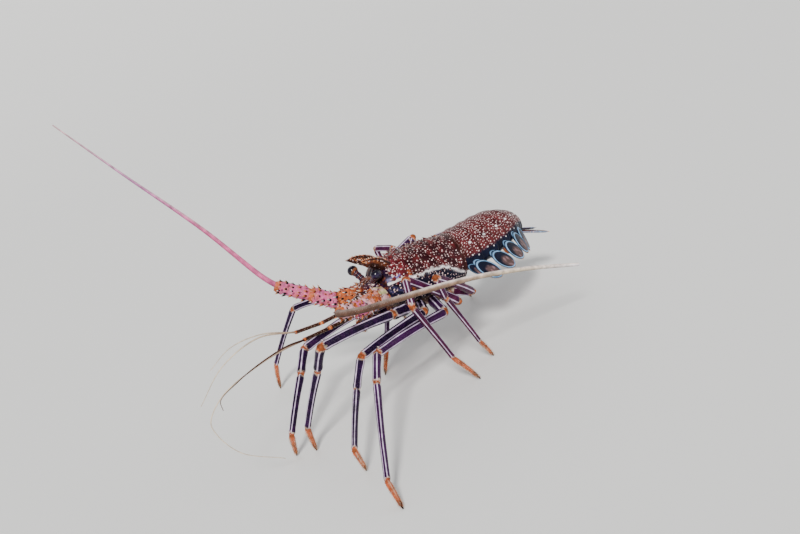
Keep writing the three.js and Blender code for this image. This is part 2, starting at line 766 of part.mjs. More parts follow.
for (let i = 1; i <= 4; i += 1) {
  for (const [sideName, side] of Object.entries(sides)) {
    const frame = ringFrames[i];
    const leaf = makeSwimmeret(frame, tailRings[i], side);
    const seated = seat(leaf, [solids[`tail_ring_${i + 1}`]]);
    addPart(`swimmeret_${sideName}_${i + 1}`, seated, bellyOrange);
  }
}

// Tail fan: a middle paddle and two paddles on each side, laid one under the other
const fanPitch = -26;
const fanPaddles = [
  { name: 'telson', side: 0, out: 0, turn: 0, drop: 0.02, long: 0.4, wide: 0.14 },
  { name: 'tail_fin_inner', side: 1, out: 0.13, turn: 24, drop: -0.025, long: 0.4, wide: 0.12 },
  { name: 'tail_fin_outer', side: 1, out: 0.17, turn: 46, drop: -0.07, long: 0.42, wide: 0.14 },
];

function paddleShape(long, wide) {
  const shape = new THREE.Shape();
  shape.moveTo(-0.05 * shell, -0.45 * wide * shell);
  shape.lineTo(0.3 * long * shell, -0.85 * wide * shell);
  shape.bezierCurveTo(
    0.75 * long * shell, -1.15 * wide * shell,
    long * shell, -0.95 * wide * shell,
    long * shell, 0,
  );
  shape.bezierCurveTo(
    long * shell, 0.95 * wide * shell,
    0.75 * long * shell, 1.15 * wide * shell,
    0.3 * long * shell, 0.85 * wide * shell,
  );
  shape.lineTo(-0.05 * shell, 0.45 * wide * shell);
  shape.closePath();
  return shape;
}

function makePaddle(paddle, side) {
  const hub = inFrame(fanFrame, 0, side * paddle.out, paddle.drop);
  const lie = frameOf(hub, lastTailRing.turn + side * paddle.turn, fanPitch);
  const options = { depth: finThickness, bevelEnabled: false, curveSegments: 7 };
  const plate = new THREE.ExtrudeGeometry(paddleShape(paddle.long, paddle.wide), options);
  plate.translate(0, 0, -finThickness / 2);
  const place = new THREE.Matrix4().makeBasis(lie.along, lie.right, lie.rise);
  place.setPosition(hub);
  plate.applyMatrix4(place);
  return solidOf(outwardGeometry(plate));
}

for (const paddle of fanPaddles) {
  const places = paddle.side === 0 ? { middle: 0 } : sides;
  for (const [sideName, side] of Object.entries(places)) {
    const name = paddle.side === 0 ? paddle.name : `${paddle.name}_${sideName}`;
    addPart(name, seat(makePaddle(paddle, side), [solids.tail_ring_6]), finRed);
  }
}

export default model;
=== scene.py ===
"""Spiny lobster, stripe-legged kind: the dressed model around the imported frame.

Sizes are in metres, head toward -X, the animal's left side toward -Y, floor at z = 0. Places are
worked out before MODEL_SHIFT, which centres the model over the frame's origin.
"""
import math
import random

import bpy
import numpy as np
from mathutils import Matrix, Vector


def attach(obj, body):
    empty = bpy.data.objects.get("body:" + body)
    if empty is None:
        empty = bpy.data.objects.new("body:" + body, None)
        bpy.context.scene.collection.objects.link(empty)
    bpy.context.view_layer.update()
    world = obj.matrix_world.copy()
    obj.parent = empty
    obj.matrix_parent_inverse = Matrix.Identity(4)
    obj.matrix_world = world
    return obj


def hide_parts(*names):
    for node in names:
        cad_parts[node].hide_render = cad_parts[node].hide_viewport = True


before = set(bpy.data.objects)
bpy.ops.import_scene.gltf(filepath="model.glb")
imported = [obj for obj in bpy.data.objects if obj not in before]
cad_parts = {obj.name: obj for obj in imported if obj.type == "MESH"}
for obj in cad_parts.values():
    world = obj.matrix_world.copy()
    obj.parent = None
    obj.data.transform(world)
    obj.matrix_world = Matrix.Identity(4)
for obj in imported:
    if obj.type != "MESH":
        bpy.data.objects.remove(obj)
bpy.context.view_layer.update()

# Driving sizes, the same as the solids'
MM = 0.001
SHELL = 100 * MM
BODY_HEIGHT = 102 * MM
BODY_FORWARD = 6 * MM
BODY_PITCH = math.radians(-10)
MODEL_SHIFT = np.array([23, 12, 0]) * MM
SIDES = {"left": -1, "right": 1}
UP = np.array([0.0, 0.0, 1.0])

rng = random.Random(11)

# Colours, as linear red, green and blue
MAROON = (0.030, 0.005, 0.008)
DARK_RED = (0.080, 0.011, 0.013)
RED = (0.15, 0.016, 0.018)
CRIMSON = (0.145, 0.014, 0.022)
ORANGE = (0.50, 0.115, 0.030)
PALE_ORANGE = (0.66, 0.27, 0.10)
JOINT_ORANGE = (0.42, 0.09, 0.035)
CREAM = (0.78, 0.64, 0.48)
WHITE = (0.90, 0.84, 0.86)
# Pale cream of the painted highlight laid along the top of the whips
HIGHLIGHT_CREAM = (0.88, 0.75, 0.69)
PINK_WHITE = (0.84, 0.60, 0.59)
LILAC_WHITE = (0.72, 0.58, 0.80)
PALE_BLUE = (0.30, 0.56, 0.90)
SLATE_BLUE = (0.13, 0.11, 0.30)
GREY_BLUE = (0.17, 0.23, 0.30)
NIGHT_BLUE = (0.004, 0.006, 0.020)
PURPLE_BLACK = (0.011, 0.002, 0.024)
PURPLE = (0.033, 0.004, 0.046)
WINE = (0.060, 0.005, 0.034)
TAIL_RED = (0.070, 0.012, 0.015)
TAIL_LIGHT = (0.120, 0.022, 0.024)
PINK = (0.66, 0.13, 0.30)
PALE_PINK = (0.72, 0.40, 0.46)
LILAC = (0.52, 0.20, 0.42)
TAN = (0.125, 0.064, 0.044)
PALE_TAN = (0.36, 0.23, 0.16)
BROWN = (0.034, 0.010, 0.007)
RUST = (0.24, 0.062, 0.020)
YELLOW_GREEN = (0.52, 0.47, 0.22)
PATCH_BROWN = (0.16, 0.088, 0.075)
BLACK = (0.004, 0.003, 0.005)


# Camera and room, in degrees, pixels and metres

CAMERA_AZIMUTH = -22
CAMERA_ELEVATION = 18
CAMERA_ROLL = -23
CAMERA_PLACE = np.array([-333, -824, 404]) * MM
FOCAL_PIXELS = 914
PHOTO_WIDTH = 800
SENSOR_WIDTH = 36.0


def add_object(name, data):
    thing = bpy.data.objects.new(name, data)
    bpy.context.collection.objects.link(thing)
    return thing


def make_camera():
    azimuth, elevation, roll = np.radians([CAMERA_AZIMUTH, CAMERA_ELEVATION, CAMERA_ROLL])
    level = np.array([math.sin(azimuth), -math.cos(azimuth), 0.0])
    back = Vector(level * math.cos(elevation) + UP * math.sin(elevation))
    right = Vector((math.cos(azimuth), math.sin(azimuth), 0.0))
    above = back.cross(right)
    turned_right = right * math.cos(roll) + above * math.sin(roll)
    turned_above = above * math.cos(roll) - right * math.sin(roll)
    turn = Matrix((turned_right, turned_above, back)).transposed()
    data = bpy.data.cameras.new("camera")
    data.sensor_width = SENSOR_WIDTH
    data.lens = FOCAL_PIXELS / PHOTO_WIDTH * SENSOR_WIDTH
    data.clip_start = 0.01
    data.clip_end = 50
    camera = add_object("camera", data)
    camera.matrix_world = Matrix.Translation(Vector(CAMERA_PLACE + MODEL_SHIFT)) @ turn.to_4x4()
    bpy.context.scene.camera = camera


FLOOR_RADIUS = 2.4
WALL_RADIUS = 30
WALL_TURN = 36
WALL_ROWS = 25
FLOOR_SIDES = 96
FLOOR_COLOUR = (0.86, 0.86, 0.85, 1)


def smooth_mesh(name, points, faces, material):
    mesh = bpy.data.meshes.new(name)
    mesh.from_pydata(points.tolist(), [], faces)
    mesh.polygons.foreach_set("use_smooth", [True] * len(faces))
    mesh.materials.append(material)
    return mesh


def ring_faces(index):
    """Four-sided faces between rows of points that close round."""
    after = np.roll(index, -1, axis=1)
    return np.stack([index[:-1], after[:-1], after[1:], index[1:]], -1).reshape(-1, 4).tolist()


def make_room():
    """A flat round floor that rises gently far out, like a wide shallow bowl."""
    turn = math.radians(WALL_TURN) * np.linspace(0, 1, WALL_ROWS)
    radius = np.concatenate([[0.0], FLOOR_RADIUS + WALL_RADIUS * np.sin(turn)])[:, None]
    height = np.concatenate([[0.0], WALL_RADIUS * (1 - np.cos(turn))])[:, None]
    angle = 2 * np.pi * np.arange(FLOOR_SIDES) / FLOOR_SIDES
    points = np.stack(np.broadcast_arrays(radius * np.cos(angle), radius * np.sin(angle), height), -1)
    faces = ring_faces(np.arange(radius.size * FLOOR_SIDES).reshape(-1, FLOOR_SIDES))
    finish = bpy.data.materials.new("floor")
    finish.use_nodes = True
    shader = finish.node_tree.nodes["Principled BSDF"]
    shader.inputs["Base Color"].default_value = FLOOR_COLOUR
    shader.inputs["Roughness"].default_value = 0.85
    floor = add_object("floor", smooth_mesh("floor", points.reshape(-1, 3), faces, finish))


# Lamps: where each stands, its softness in degrees, its strength and its colour
SUNS = {
    "key": ((-1.0, -1.9, 2.0), 12, 3.4, (1.0, 0.98, 0.95)),
    "fill": ((2.0, -1.0, 1.2), 40, 0.5, (0.94, 0.97, 1.0)),
    "back": ((0.5, 2.0, 1.8), 40, 0.6, (1.0, 1.0, 1.0)),
}
ROOM_LIGHT = (0.90, 0.92, 0.94, 1)
ROOM_STRENGTH = 0.4


def make_lights():
    for name, (place, softness, strength, colour) in SUNS.items():
        data = bpy.data.lights.new(name, "SUN")
        data.angle = math.radians(softness)
        data.energy = strength
        data.color = colour
        light = add_object(name, data)
        light.location = place
        light.rotation_euler = (-Vector(place)).to_track_quat("-Z", "Y").to_euler()
    world = bpy.data.worlds.new("room")
    world.use_nodes = True
    background = world.node_tree.nodes["Background"]
    background.inputs["Color"].default_value = ROOM_LIGHT
    background.inputs["Strength"].default_value = ROOM_STRENGTH
    bpy.context.scene.world = world


# Materials

def fill_inputs(tree, node, inputs):
    """Sets each input to a value, or links it to another node's socket."""
    for name, source in inputs.items():
        if isinstance(source, bpy.types.NodeSocket):
            tree.links.new(source, node.inputs[name])
        else:
            node.inputs[name].default_value = source


def add_node(tree, kind, inputs, output, **settings):
    """Adds a node to the right of the others and gives the socket of one output."""
    node = tree.nodes.new(kind)
    node.location = (200 * len(tree.nodes), 0)
    for name, value in settings.items():
        setattr(node, name, value)
    fill_inputs(tree, node, inputs)
    return node.outputs[output]


def add_range(tree, source, low, high, to_low, to_high, **settings):
    """Remaps a value from one range to another."""
    inputs = {"Value": source, "From Min": low, "From Max": high, "To Min": to_low, "To Max": to_high}
    return add_node(tree, "ShaderNodeMapRange", inputs, "Result", **settings)


def add_math(tree, operation, *sources):
    return add_node(tree, "ShaderNodeMath", dict(enumerate(sources)), "Value", operation=operation)


def add_noise(tree, where, size, detail):
    inputs = {"Vector": where, "Scale": 1 / size, "Detail": detail}
    return add_node(tree, "ShaderNodeTexNoise", inputs, "Fac")


def add_spots(tree, where, spacing, radius, share, scatter):
    """Round spots scattered over the unrolled skin, some large, some small, some left out."""
    inputs = {"Vector": where, "Scale": 1 / spacing, "Randomness": scatter}
    distance = add_node(tree, "ShaderNodeTexVoronoi", inputs, "Distance", voronoi_dimensions="2D")
    draws = {"Color": distance.node.outputs["Color"]}
    size_draw = add_node(tree, "ShaderNodeSeparateColor", draws, "Red")
    size = add_range(tree, size_draw, 0, 1, 0.65 * radius, 1.3 * radius)
    kept = add_math(tree, "LESS_THAN", size_draw.node.outputs["Green"], share)
    inside = add_math(tree, "SUBTRACT", size, distance)
    edge = add_range(tree, inside, -0.03, 0.06, 0, 1, interpolation_type="SMOOTHSTEP")
    return add_math(tree, "MULTIPLY", edge, kept)


PIT_SIZE = MM / 1.4
BUMP_DEPTH = 0.35 * MM


def shell_material(name, roughness, coat, spots=(), spot_colour=(1, 1, 1), grain=1.0, mottle_size=6 * MM,
                   scatter=0.72):
    """Tint from the piece's own colour layer, with mottling, raised spots, pits and gloss changes.

    spots lists layers of spots, each with its spacing, radius in spacings and share kept.
    """
    material = bpy.data.materials.new(name)
    material.use_nodes = True
    tree = material.node_tree
    place = add_node(tree, "ShaderNodeTexCoord", {}, "Object")
    tint = add_node(tree, "ShaderNodeAttribute", {}, "Color", attribute_name="tint")
    mark = add_node(tree, "ShaderNodeAttribute", {}, "Fac", attribute_name="mark")
    lay = add_node(tree, "ShaderNodeAttribute", {}, "Vector", attribute_name="lay")

    mottle = add_noise(tree, place, mottle_size, 5)
    shade = add_range(tree, mottle, 0.3, 0.7, 0.6, 1.35)
    shaded = {0: tint, "Scale": shade}
    colour = add_node(tree, "ShaderNodeVectorMath", shaded, "Vector", operation="SCALE")
    relief = mottle
    for spacing, radius, share in spots:
        found = add_spots(tree, lay, spacing, radius, share, scatter)
        amount = add_math(tree, "MULTIPLY", found, mark)
        layers = {"Factor": amount, "A": colour, "B": (*spot_colour, 1)}
        colour = add_node(tree, "ShaderNodeMix", layers, "Result", data_type="RGBA")
        relief = add_math(tree, "MULTIPLY_ADD", amount, 0.9, relief)

    pits = add_noise(tree, place, PIT_SIZE, 3)
    height = add_math(tree, "MULTIPLY_ADD", pits, 0.5, relief)
    bump = {"Strength": 0.45 * grain, "Distance": BUMP_DEPTH, "Height": height}
    fill_inputs(tree, tree.nodes["Principled BSDF"], {
        "Base Color": colour,
        "Roughness": add_range(tree, mottle, 0.3, 0.7, max(roughness - 0.09, 0.03), roughness + 0.12),
        "Normal": add_node(tree, "ShaderNodeBump", bump, "Normal"),
        "Specular IOR Level": 0.06 + 0.4 * coat,
        "Coat Weight": coat,
        "Coat Roughness": 0.18,
    })
    return material


def make_materials():
    return {
        "shell": shell_material("shell_red", 0.36, 0.06, [(3.3 * MM, 0.21, 0.58), (1.7 * MM, 0.15, 0.12)],
                                PINK_WHITE, 1.2),
        "tail": shell_material("tail_brown", 0.33, 0.04, [(2.9 * MM, 0.21, 0.98), (1.7 * MM, 0.14, 0.16)],
                               PINK_WHITE, 1.0, 9 * MM, 0.6),
        "leg": shell_material("leg_purple", 0.28, 0.05, [(1.5 * MM, 0.22, 0.6)], CREAM, 0.6),
        "feeler": shell_material("feeler", 0.42, 0.05, [(1.8 * MM, 0.2, 0.5)], CREAM, 0.8),
        "belly": shell_material("belly", 0.45, 0.1, [(2.2 * MM, 0.25, 0.7)], CREAM, 0.8),
        "fin": shell_material("fin", 0.38, 0.2, [(2.4 * MM, 0.22, 0.6)], PINK_WHITE, 0.7),
        "eye": shell_material("eye", 0.12, 0.45, (), WHITE, 0.05, 2 * MM),
    }


# Meshes

LAY_STEP = 0.411
PATCH_SIZE = 0.003
# Widths of a sheet's layers: place, tint, strength of the spots, unrolled place, place on the bristles' map
LAYER_WIDTHS = (3, 3, 1, 3, 2)


class Skin:
    """Collects the surfaces of one piece."""

    def __init__(self):
        self.sheets = []
        self.faces = []
        self.count = 0

    def grid(self, points, tints, marks=0.0, place=(0.0, 0.0), lays=None):
        """A sheet of rows by columns, closed round and at both ends, facing outward.

        place is where its small patch lies on the map kept for the bristles, and lays is the
        unrolled sheet, worked out from the points when it isn't given.
        """
        rows, columns = points.shape[:2]
        index = np.arange(rows * columns).reshape(rows, columns) + self.count
        after = np.roll(index, -1, axis=1)
        faces = ring_faces(index)
        hub = self.count + rows * columns
        for row, turned_row in ((index[0], after[0]), (after[-1], index[-1])):
            faces.extend(np.stack([np.full(columns, hub), turned_row, row], -1).tolist())
            hub += 1
        if sheet_volume(points) < 0:
            faces = [face[::-1] for face in faces]
        self.faces.extend(faces)
        if lays is None:
            lays = unrolled(points)
        lays = lays + LAY_STEP * len(self.sheets)
        patches = np.stack(np.broadcast_arrays(
            place[0] + PATCH_SIZE * np.linspace(-0.5, 0.5, columns)[None],
            place[1] + PATCH_SIZE * np.linspace(-0.5, 0.5, rows)[:, None]), -1)
        layers = (points, tints, np.asarray(marks, float)[..., None], lays, patches)
        sheet = np.concatenate([
            np.broadcast_to(layer, (rows, columns, width)) for layer, width in zip(layers, LAYER_WIDTHS)
        ], -1)
        self.sheets.append(np.concatenate([sheet.reshape(-1, sum(LAYER_WIDTHS)), sheet[[0, -1]].mean(1)]))
        self.count = hub


def sheet_volume(points):
    """Signed size of the space inside a sheet that is closed round."""
    local = points - points.mean((0, 1))
    after = np.roll(local, -1, axis=1)
    low_left, low_right, high_right, high_left = local[:-1], after[:-1], after[1:], local[1:]
    normals = np.cross(high_right - low_left, high_left - low_right)
    return np.sum(normals * (low_left + low_right + high_right + high_left))


def unrolled(points):
    """Where each point lies when the sheet is unrolled flat, from the middle column outward."""
    across = np.linalg.norm(np.diff(points, axis=1), axis=2)
    across = np.concatenate([np.zeros((len(points), 1)), np.cumsum(across, 1)], 1)
    across -= across[:, points.shape[1] // 2][:, None]
    along = np.linalg.norm(np.diff(points, axis=0), axis=2).mean(1)
    along = np.concatenate([[0], np.cumsum(along)])[:, None] * np.ones((1, points.shape[1]))
    return np.stack([across, along, np.zeros_like(across)], -1)


def make_piece(name, skin, material, nodes):
    table = np.concatenate(skin.sheets)
    points, tints, marks, lays, patches = np.split(table, np.cumsum(LAYER_WIDTHS)[:-1], axis=1)
    mesh = smooth_mesh(name, points + MODEL_SHIFT, skin.faces, material)
    colours = np.concatenate([tints, np.ones((len(tints), 1))], 1)
    for layer, kind, field, values in (
        ("tint", "FLOAT_COLOR", "color", colours),
        ("mark", "FLOAT", "value", marks),
        ("lay", "FLOAT_VECTOR", "vector", lays),
    ):
        data = mesh.attributes.new(layer, kind, "POINT").data
        data.foreach_set(field, values.astype(np.float32).ravel())
    if name.endswith("_bristles"):
        corners = np.empty(len(mesh.loops), np.int32)
        mesh.loops.foreach_get("vertex_index", corners)
        bake_map = mesh.uv_layers.new(name="OFBake")
        bake_map.data.foreach_set("uv", patches[corners].astype(np.float32).ravel())
    mesh.update()
    piece = add_object(name, mesh)
    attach(piece, "root")
    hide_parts(*nodes)


def blend(low, high, share):
    share = np.asarray(share, float)[..., None]
    return np.asarray(low, float) * (1 - share) + np.asarray(high, float) * share


def paint(tints, *layers):
    """Lays each layer's colour in turn over the tints, where its share is 1."""
    for colour, share in layers:
        share = np.clip(np.asarray(share, float), 0, 1)[..., None]
        tints = tints * (1 - share) + np.asarray(colour, float) * share
    return tints


def smooth(low, high, value):
    share = np.clip((np.asarray(value, float) - low) / (high - low), 0, 1)
    return share * share * (3 - 2 * share)


def bell(value, middle, width):
    return np.exp(-(((np.asarray(value, float) - middle) / width) ** 2))


def unit(vector):
    vector = np.asarray(vector, float)
    return vector / np.linalg.norm(vector, axis=-1, keepdims=True)


def turned(vector, axis, angle):
    """Vector turned about a unit axis by an angle in radians."""
    return (
        vector * math.cos(angle)
        + np.cross(axis, vector) * math.sin(angle)
        + axis * (axis @ vector) * (1 - math.cos(angle))
    )


def between(knots, share):
    """Smooth value read between evenly spaced knots."""
    knots = np.asarray(knots, float)
    place = np.clip(share, 0, 1) * (len(knots) - 1)
    cell = np.minimum(np.floor(place).astype(int), len(knots) - 2)
    part = place - cell
    before = knots[np.maximum(cell - 1, 0)]
    after = knots[np.minimum(cell + 2, len(knots) - 1)]
    low = knots[cell]
    high = knots[cell + 1]
    slope_low = (high - before) / 2
    slope_high = (after - low) / 2
    cubic = 2 * part**3 - 3 * part**2
    ease = part**3 - 2 * part**2 + part
    return (cubic + 1) * low + ease * slope_low - cubic * high + (part**3 - part**2) * slope_high


def waves(points, pitch, seed):
    """Smooth noise from about -1 to 1 made of crossed waves."""
    draw = random.Random(seed)
    total = 0.0
    for _ in range(4):
        heading = unit([draw.uniform(-1, 1) for _ in range(3)]) * draw.uniform(0.75, 1.35)
        total = total + np.sin(points @ heading * 2 * math.pi / pitch + draw.uniform(0, 6))
    return total / 3


def blotches(points, pitch, seed, low, high):
    """Soft patches from 0 to 1, where the noise goes from low to high; pitch is in millimetres."""
    return smooth(low, high, waves(points, pitch * MM, seed))


# Body frame: tailward, rightward and upward shares of the shell length

TAILWARD = np.array([math.cos(BODY_PITCH), 0, math.sin(BODY_PITCH)])
RIGHTWARD = np.array([0.0, 1.0, 0.0])
DORSAL = np.cross(TAILWARD, RIGHTWARD)
BODY_MIDDLE = np.array([BODY_FORWARD, 0, BODY_HEIGHT])


def body_point(tail, right, rise):
    axes = np.stack([TAILWARD, RIGHTWARD, DORSAL])
    return BODY_MIDDLE + SHELL * (np.stack(np.broadcast_arrays(tail, right, rise), -1) @ axes)


def spot(x, y, z):
    """Place given in millimetres."""
    return np.array([x, y, z], float) * MM


def spots(*places):
    return [spot(*place) for place in places]


def angles_from_below(count):
    """Angles once round, starting and ending under the belly, with the top at a quarter turn."""
    return -np.pi / 2 + 2 * np.pi * np.arange(count) / count


def around_angles(count):
    """Angles once round a tube, starting and ending at its underside, with the top at zero."""
    return -np.pi + 2 * np.pi * np.arange(count) / count


# Tubes, spines and balls

def tube_frames(path):
    """Direction along the path and a top direction carried along it without twist."""
    ahead = np.vstack([path[1:], path[-1:]])
    behind = np.vstack([path[:1], path[:-1]])
    along = unit(ahead - behind)
    tops = np.zeros_like(path)
    top = UP if abs(along[0][2]) < 0.9 else np.array([1.0, 0, 0])
    for i, heading in enumerate(along):
        top = unit(top - heading * (top @ heading))
        tops[i] = top
    return along, tops


def spoke(turn, top, third):
    """Direction out from a path, turned from its top toward its third direction."""
    return math.cos(turn) * top + math.sin(turn) * third


def top_of(heading):
    """Upward direction square to a heading."""
    return unit(UP - heading * (UP @ heading))


def tube_grid(path, radii, sides, flat=1.0):
    """Rings round a path; radii is one value a row, or a value for every point."""
    along, tops = tube_frames(path)
    third = np.cross(along, tops)
    angle = around_angles(sides)
    reach = radii[:, None] if np.ndim(radii) == 1 else radii
    lift = (reach * np.cos(angle))[..., None] * tops[:, None]
    side = (flat * reach * np.sin(angle))[..., None] * third[:, None]
    return path[:, None] + lift + side


def line_path(start, end, rows, bow=None):
    """Straight path, or one bent sideways by the vector bow at its middle."""
    share = np.linspace(0, 1, rows)[:, None]
    path = start + share * (end - start)
    if bow is not None:
        path = path + np.sin(np.pi * share) * bow
    return path


def mixed(low, high, start, end, stops):
    """Goes evenly from low, at the stop start, to high, at the stop end."""
    return ((end - stops) * low + (stops - start) * high) / (end - start)


def curve_path(points, steps):
    """Evenly stepped smooth path through the given points, and its length."""
    points = np.asarray(points, float)
    padded = np.vstack([2 * points[0] - points[1], points, 2 * points[-1] - points[-2]])
    samples = []
    for i in range(len(points) - 1):
        p = padded[i:i + 4]
        knots = np.concatenate([[0], np.cumsum(np.linalg.norm(np.diff(p, axis=0), axis=1) ** 0.5)])
        stops = np.linspace(knots[1], knots[2], 40)[:, None]
        a = [mixed(p[k], p[k + 1], knots[k], knots[k + 1], stops) for k in range(3)]
        b = [mixed(a[k], a[k + 1], knots[k], knots[k + 2], stops) for k in range(2)]
        samples.append(mixed(b[0], b[1], knots[1], knots[2], stops))
    dense = np.vstack(samples)
    gaps = np.linalg.norm(np.diff(dense, axis=0), axis=1)
    reach = np.concatenate([[0], np.cumsum(gaps)])
    stops = np.linspace(0, reach[-1], steps)
    return np.stack([np.interp(stops, reach, dense[:, k]) for k in range(3)], 1), reach[-1]


SPINE_STATIONS = np.array([-0.35, -0.05, 0.08, 0.3, 0.55, 0.8, 0.96, 1.0])
SPINE_WIDTHS = np.array([1.5, 1.35, 1.0, 0.74, 0.5, 0.27, 0.1, 0.02])


def add_spine(skin, root, direction, length, radius, base, tip, collar=None, sides=8, change=0.45, curl=UP):
    """Tapering spine with a flared foot, bent toward curl, its colour changing past the share given."""
    direction = unit(direction)
    bend = curl - direction * (curl @ direction)
    lean = 0.12 * length * np.clip(SPINE_STATIONS, 0, 1) ** 2
    path = root + SPINE_STATIONS[:, None] * length * direction + lean[:, None] * bend
    tints = blend(base, tip, smooth(change - 0.15, change + 0.25, SPINE_STATIONS))
    if collar is not None:
        tints = paint(tints, (collar, bell(SPINE_STATIONS, 0.0, 0.2)))
    skin.grid(tube_grid(path, SPINE_WIDTHS * radius, sides), tints[:, None])


def add_grain(skin, root, normal, radius, tint):
    """Low rounded grain standing on the shell."""
    heights = np.array([-0.5, 0.35, 0.75, 0.95]) * radius
    widths = np.array([1.25, 0.95, 0.6, 0.12]) * radius
    path = root + heights[:, None] * unit(normal)
    skin.grid(tube_grid(path, widths, 6), tint)


def add_bristle(skin, root, direction, length, radius, tint, place=(0.0, 0.0)):
    direction = unit(direction)
    side = unit(np.cross(direction, UP + 0.01))
    path = np.stack([root - 0.2 * length * direction, root + 0.5 * length * direction,
                     root + length * direction + 0.12 * length * side])
    points = tube_grid(path, np.array([1.0, 0.8, 0.15]) * radius, 3)
    skin.grid(points, tint, 0.0, place)


def ball_points(middle, axes, radii, rows, around):
    """Stretched ball; axes are three unit vectors, the first pointing out of the pole."""
    polar = np.linspace(0.01, np.pi - 0.01, rows)[:, None]
    turn = (2 * np.pi * np.arange(around) / around)[None]
    local = np.stack(np.broadcast_arrays(
        -np.cos(polar), np.sin(polar) * np.cos(turn), np.sin(polar) * np.sin(turn)), -1)
    return middle + (local * np.asarray(radii)) @ np.asarray(axes), local


# Carapace: a domed shield with a groove across it, a raised rear rim, two horns, spines and grains

SHIELD_WIDTHS = [0.215, 0.285, 0.335, 0.36, 0.36, 0.335]
SHIELD_TOPS = [0.17, 0.25, 0.29, 0.305, 0.305, 0.285]
SHIELD_FLOORS = [0.16, 0.22, 0.245, 0.25, 0.24, 0.2]
GROOVE_DEPTH = 0.045
RIM_RISE = 0.03


def shield_front(angle):
    return 0.125 + 0.025 * np.sin(angle)


def shield_point(share, angle):
    share, angle = np.broadcast_arrays(np.asarray(share, float), np.asarray(angle, float))
    side = np.cos(angle)
    rise = np.sin(angle)
    groove_place = 0.5 - 0.16 * (1 - np.maximum(rise, 0)) ** 1.5
    groove = GROOVE_DEPTH * bell(share, groove_place, 0.024)
    rim = RIM_RISE * bell(share, 0.985, 0.02)
    rim_groove = 0.6 * RIM_RISE * bell(share, 0.935, 0.02)
    scale = 1 + np.where(rise > -0.2, rim - rim_groove - groove, 0)
    width = between(SHIELD_WIDTHS, share) * scale
    top = body_point(share - 0.5, width * side, between(SHIELD_TOPS, share) * rise * scale)
    squared = np.sign(side) * np.abs(side) ** 0.7
    drop = between(SHIELD_FLOORS, share) * np.abs(rise) ** 0.75
    low = body_point(share - 0.5, width * squared * (1 - 0.12 * np.abs(rise)), -drop)
    return np.where((rise >= 0)[..., None], top, low)


def shield_normal(share, angle):
    step = 0.02
    along = shield_point(share + step, angle) - shield_point(share - step, angle)
    around = shield_point(share, angle + step) - shield_point(share, angle - step)
    return -unit(np.cross(along, around))


def height_degrees(angle):
    """How high a place round the body stands: 0 at the side, 90 at the top."""
    return np.degrees(np.arcsin(np.clip(np.sin(angle), -1, 1)))


# The pale beaded line along the side, as shares of the shell length and heights round it
SIDE_LINE_SHARES = [0.33, 0.351, 0.455, 0.513, 0.595, 0.738, 0.83, 0.914, 0.97]
SIDE_LINE_HEIGHTS = [12.0, 13.6, 12.6, 14.2, 15.6, 11.6, 3.0, -8.0, -14.0]
BEAD_PITCH = 2.1 * MM


def shield_tints(share, angle):
    """Tints of places on the shield, and how strongly its small pale spots show there."""
    height = height_degrees(angle)
    points = shield_point(share, angle)
    line_height = np.interp(share, SIDE_LINE_SHARES, SIDE_LINE_HEIGHTS)
    patches = blotches(points, 12, 3, -0.2, 0.7)
    crown = smooth(45, 75, height) * smooth(0.4, 0.6, share)
    front = smooth(0.24, 0.18, share) * smooth(5, 20, height)
    crimson = smooth(0.41, 0.33, share) * smooth(0.17, 0.22, share)
    crimson = crimson * smooth(24, 29, height) * smooth(88, 62, height)
    band = bell(share, 0.368, 0.018) * smooth(33, 26, height) * smooth(-24, -10, height)
    slate = smooth(0.29, 0.25, share) * smooth(14, 18, height) * smooth(31, 27, height)
    lower = smooth(0.3, 0.24, share) * smooth(14, 10, height) * smooth(-30, -12, height)

    wobble = 2.3 * waves(points, 6 * MM, 5)
    beads = 0.5 + 0.5 * np.cos(2 * math.pi * share * SHELL / BEAD_PITCH)
    line = bell(height, line_height + wobble, 1.9 + 1.1 * beads) * smooth(0.322, 0.34, share)
    bar_height = np.interp(share, [0.112, 0.287], [15.7, 18.2])
    bar = smooth(3.7, 2.5, np.abs(height - bar_height)) * smooth(0.294, 0.284, share)
    edge = bell(share, 0.2, 0.006) * smooth(25, 28, height) * smooth(52, 48, height)
    pale = np.clip(line + bar + edge, 0, 1)
    rim = smooth(0.962, 0.975, share) * smooth(-25, -10, height)
    rim_edge = smooth(0.984, 0.992, share) * smooth(-25, -10, height)
    under = smooth(-38, -62, height)
    tints = paint(
        blend(MAROON, DARK_RED, patches),
        (RED, 0.45 * crown * patches),
        (NIGHT_BLUE, 0.92 * smooth(3, -4, height - line_height)),
        (PURPLE_BLACK, 0.85 * front),
        (CRIMSON, crimson * (0.45 + 0.55 * patches)),
        (ORANGE, band * (0.75 + 0.25 * waves(points, 4 * MM, 7))),
        (SLATE_BLUE, slate),
        (SLATE_BLUE, 0.22 * lower * blotches(points, 5, 8, 0.0, 0.4)),
        (WHITE, pale),
        (BROWN, 0.8 * rim),
        (DARK_RED, 0.7 * rim_edge),
        (PATCH_BROWN, under),
    )
    return tints, np.clip(1.0 - pale - 0.3 * rim - under - 0.5 * band - 0.3 * crimson, 0, 1)


# Spines stand in rows at these heights round the shield, in degrees, with lesser rows between them
SPINE_ROWS = [22, 42, 60, 78]
LESSER_ROWS = [8, 32, 51, 69, 86]
SPINES_PER_ROW = 7
# Where a row starts and how far it reaches, as shares of the shell length, and how far a root may stray
ROW_START = 0.2
ROW_REACH = 0.7
STRAY = 0.02
LONGEST_SPINE = 7.5 * MM
SHORTEST_SPINE = 2.6 * MM
GRAIN_COUNT = 520
TUBERCLE_COUNT = 22


def side_angle(height, side):
    """Angle round the body of a height in degrees on one side."""
    lift = math.radians(height)
    return lift if side > 0 else math.pi - lift


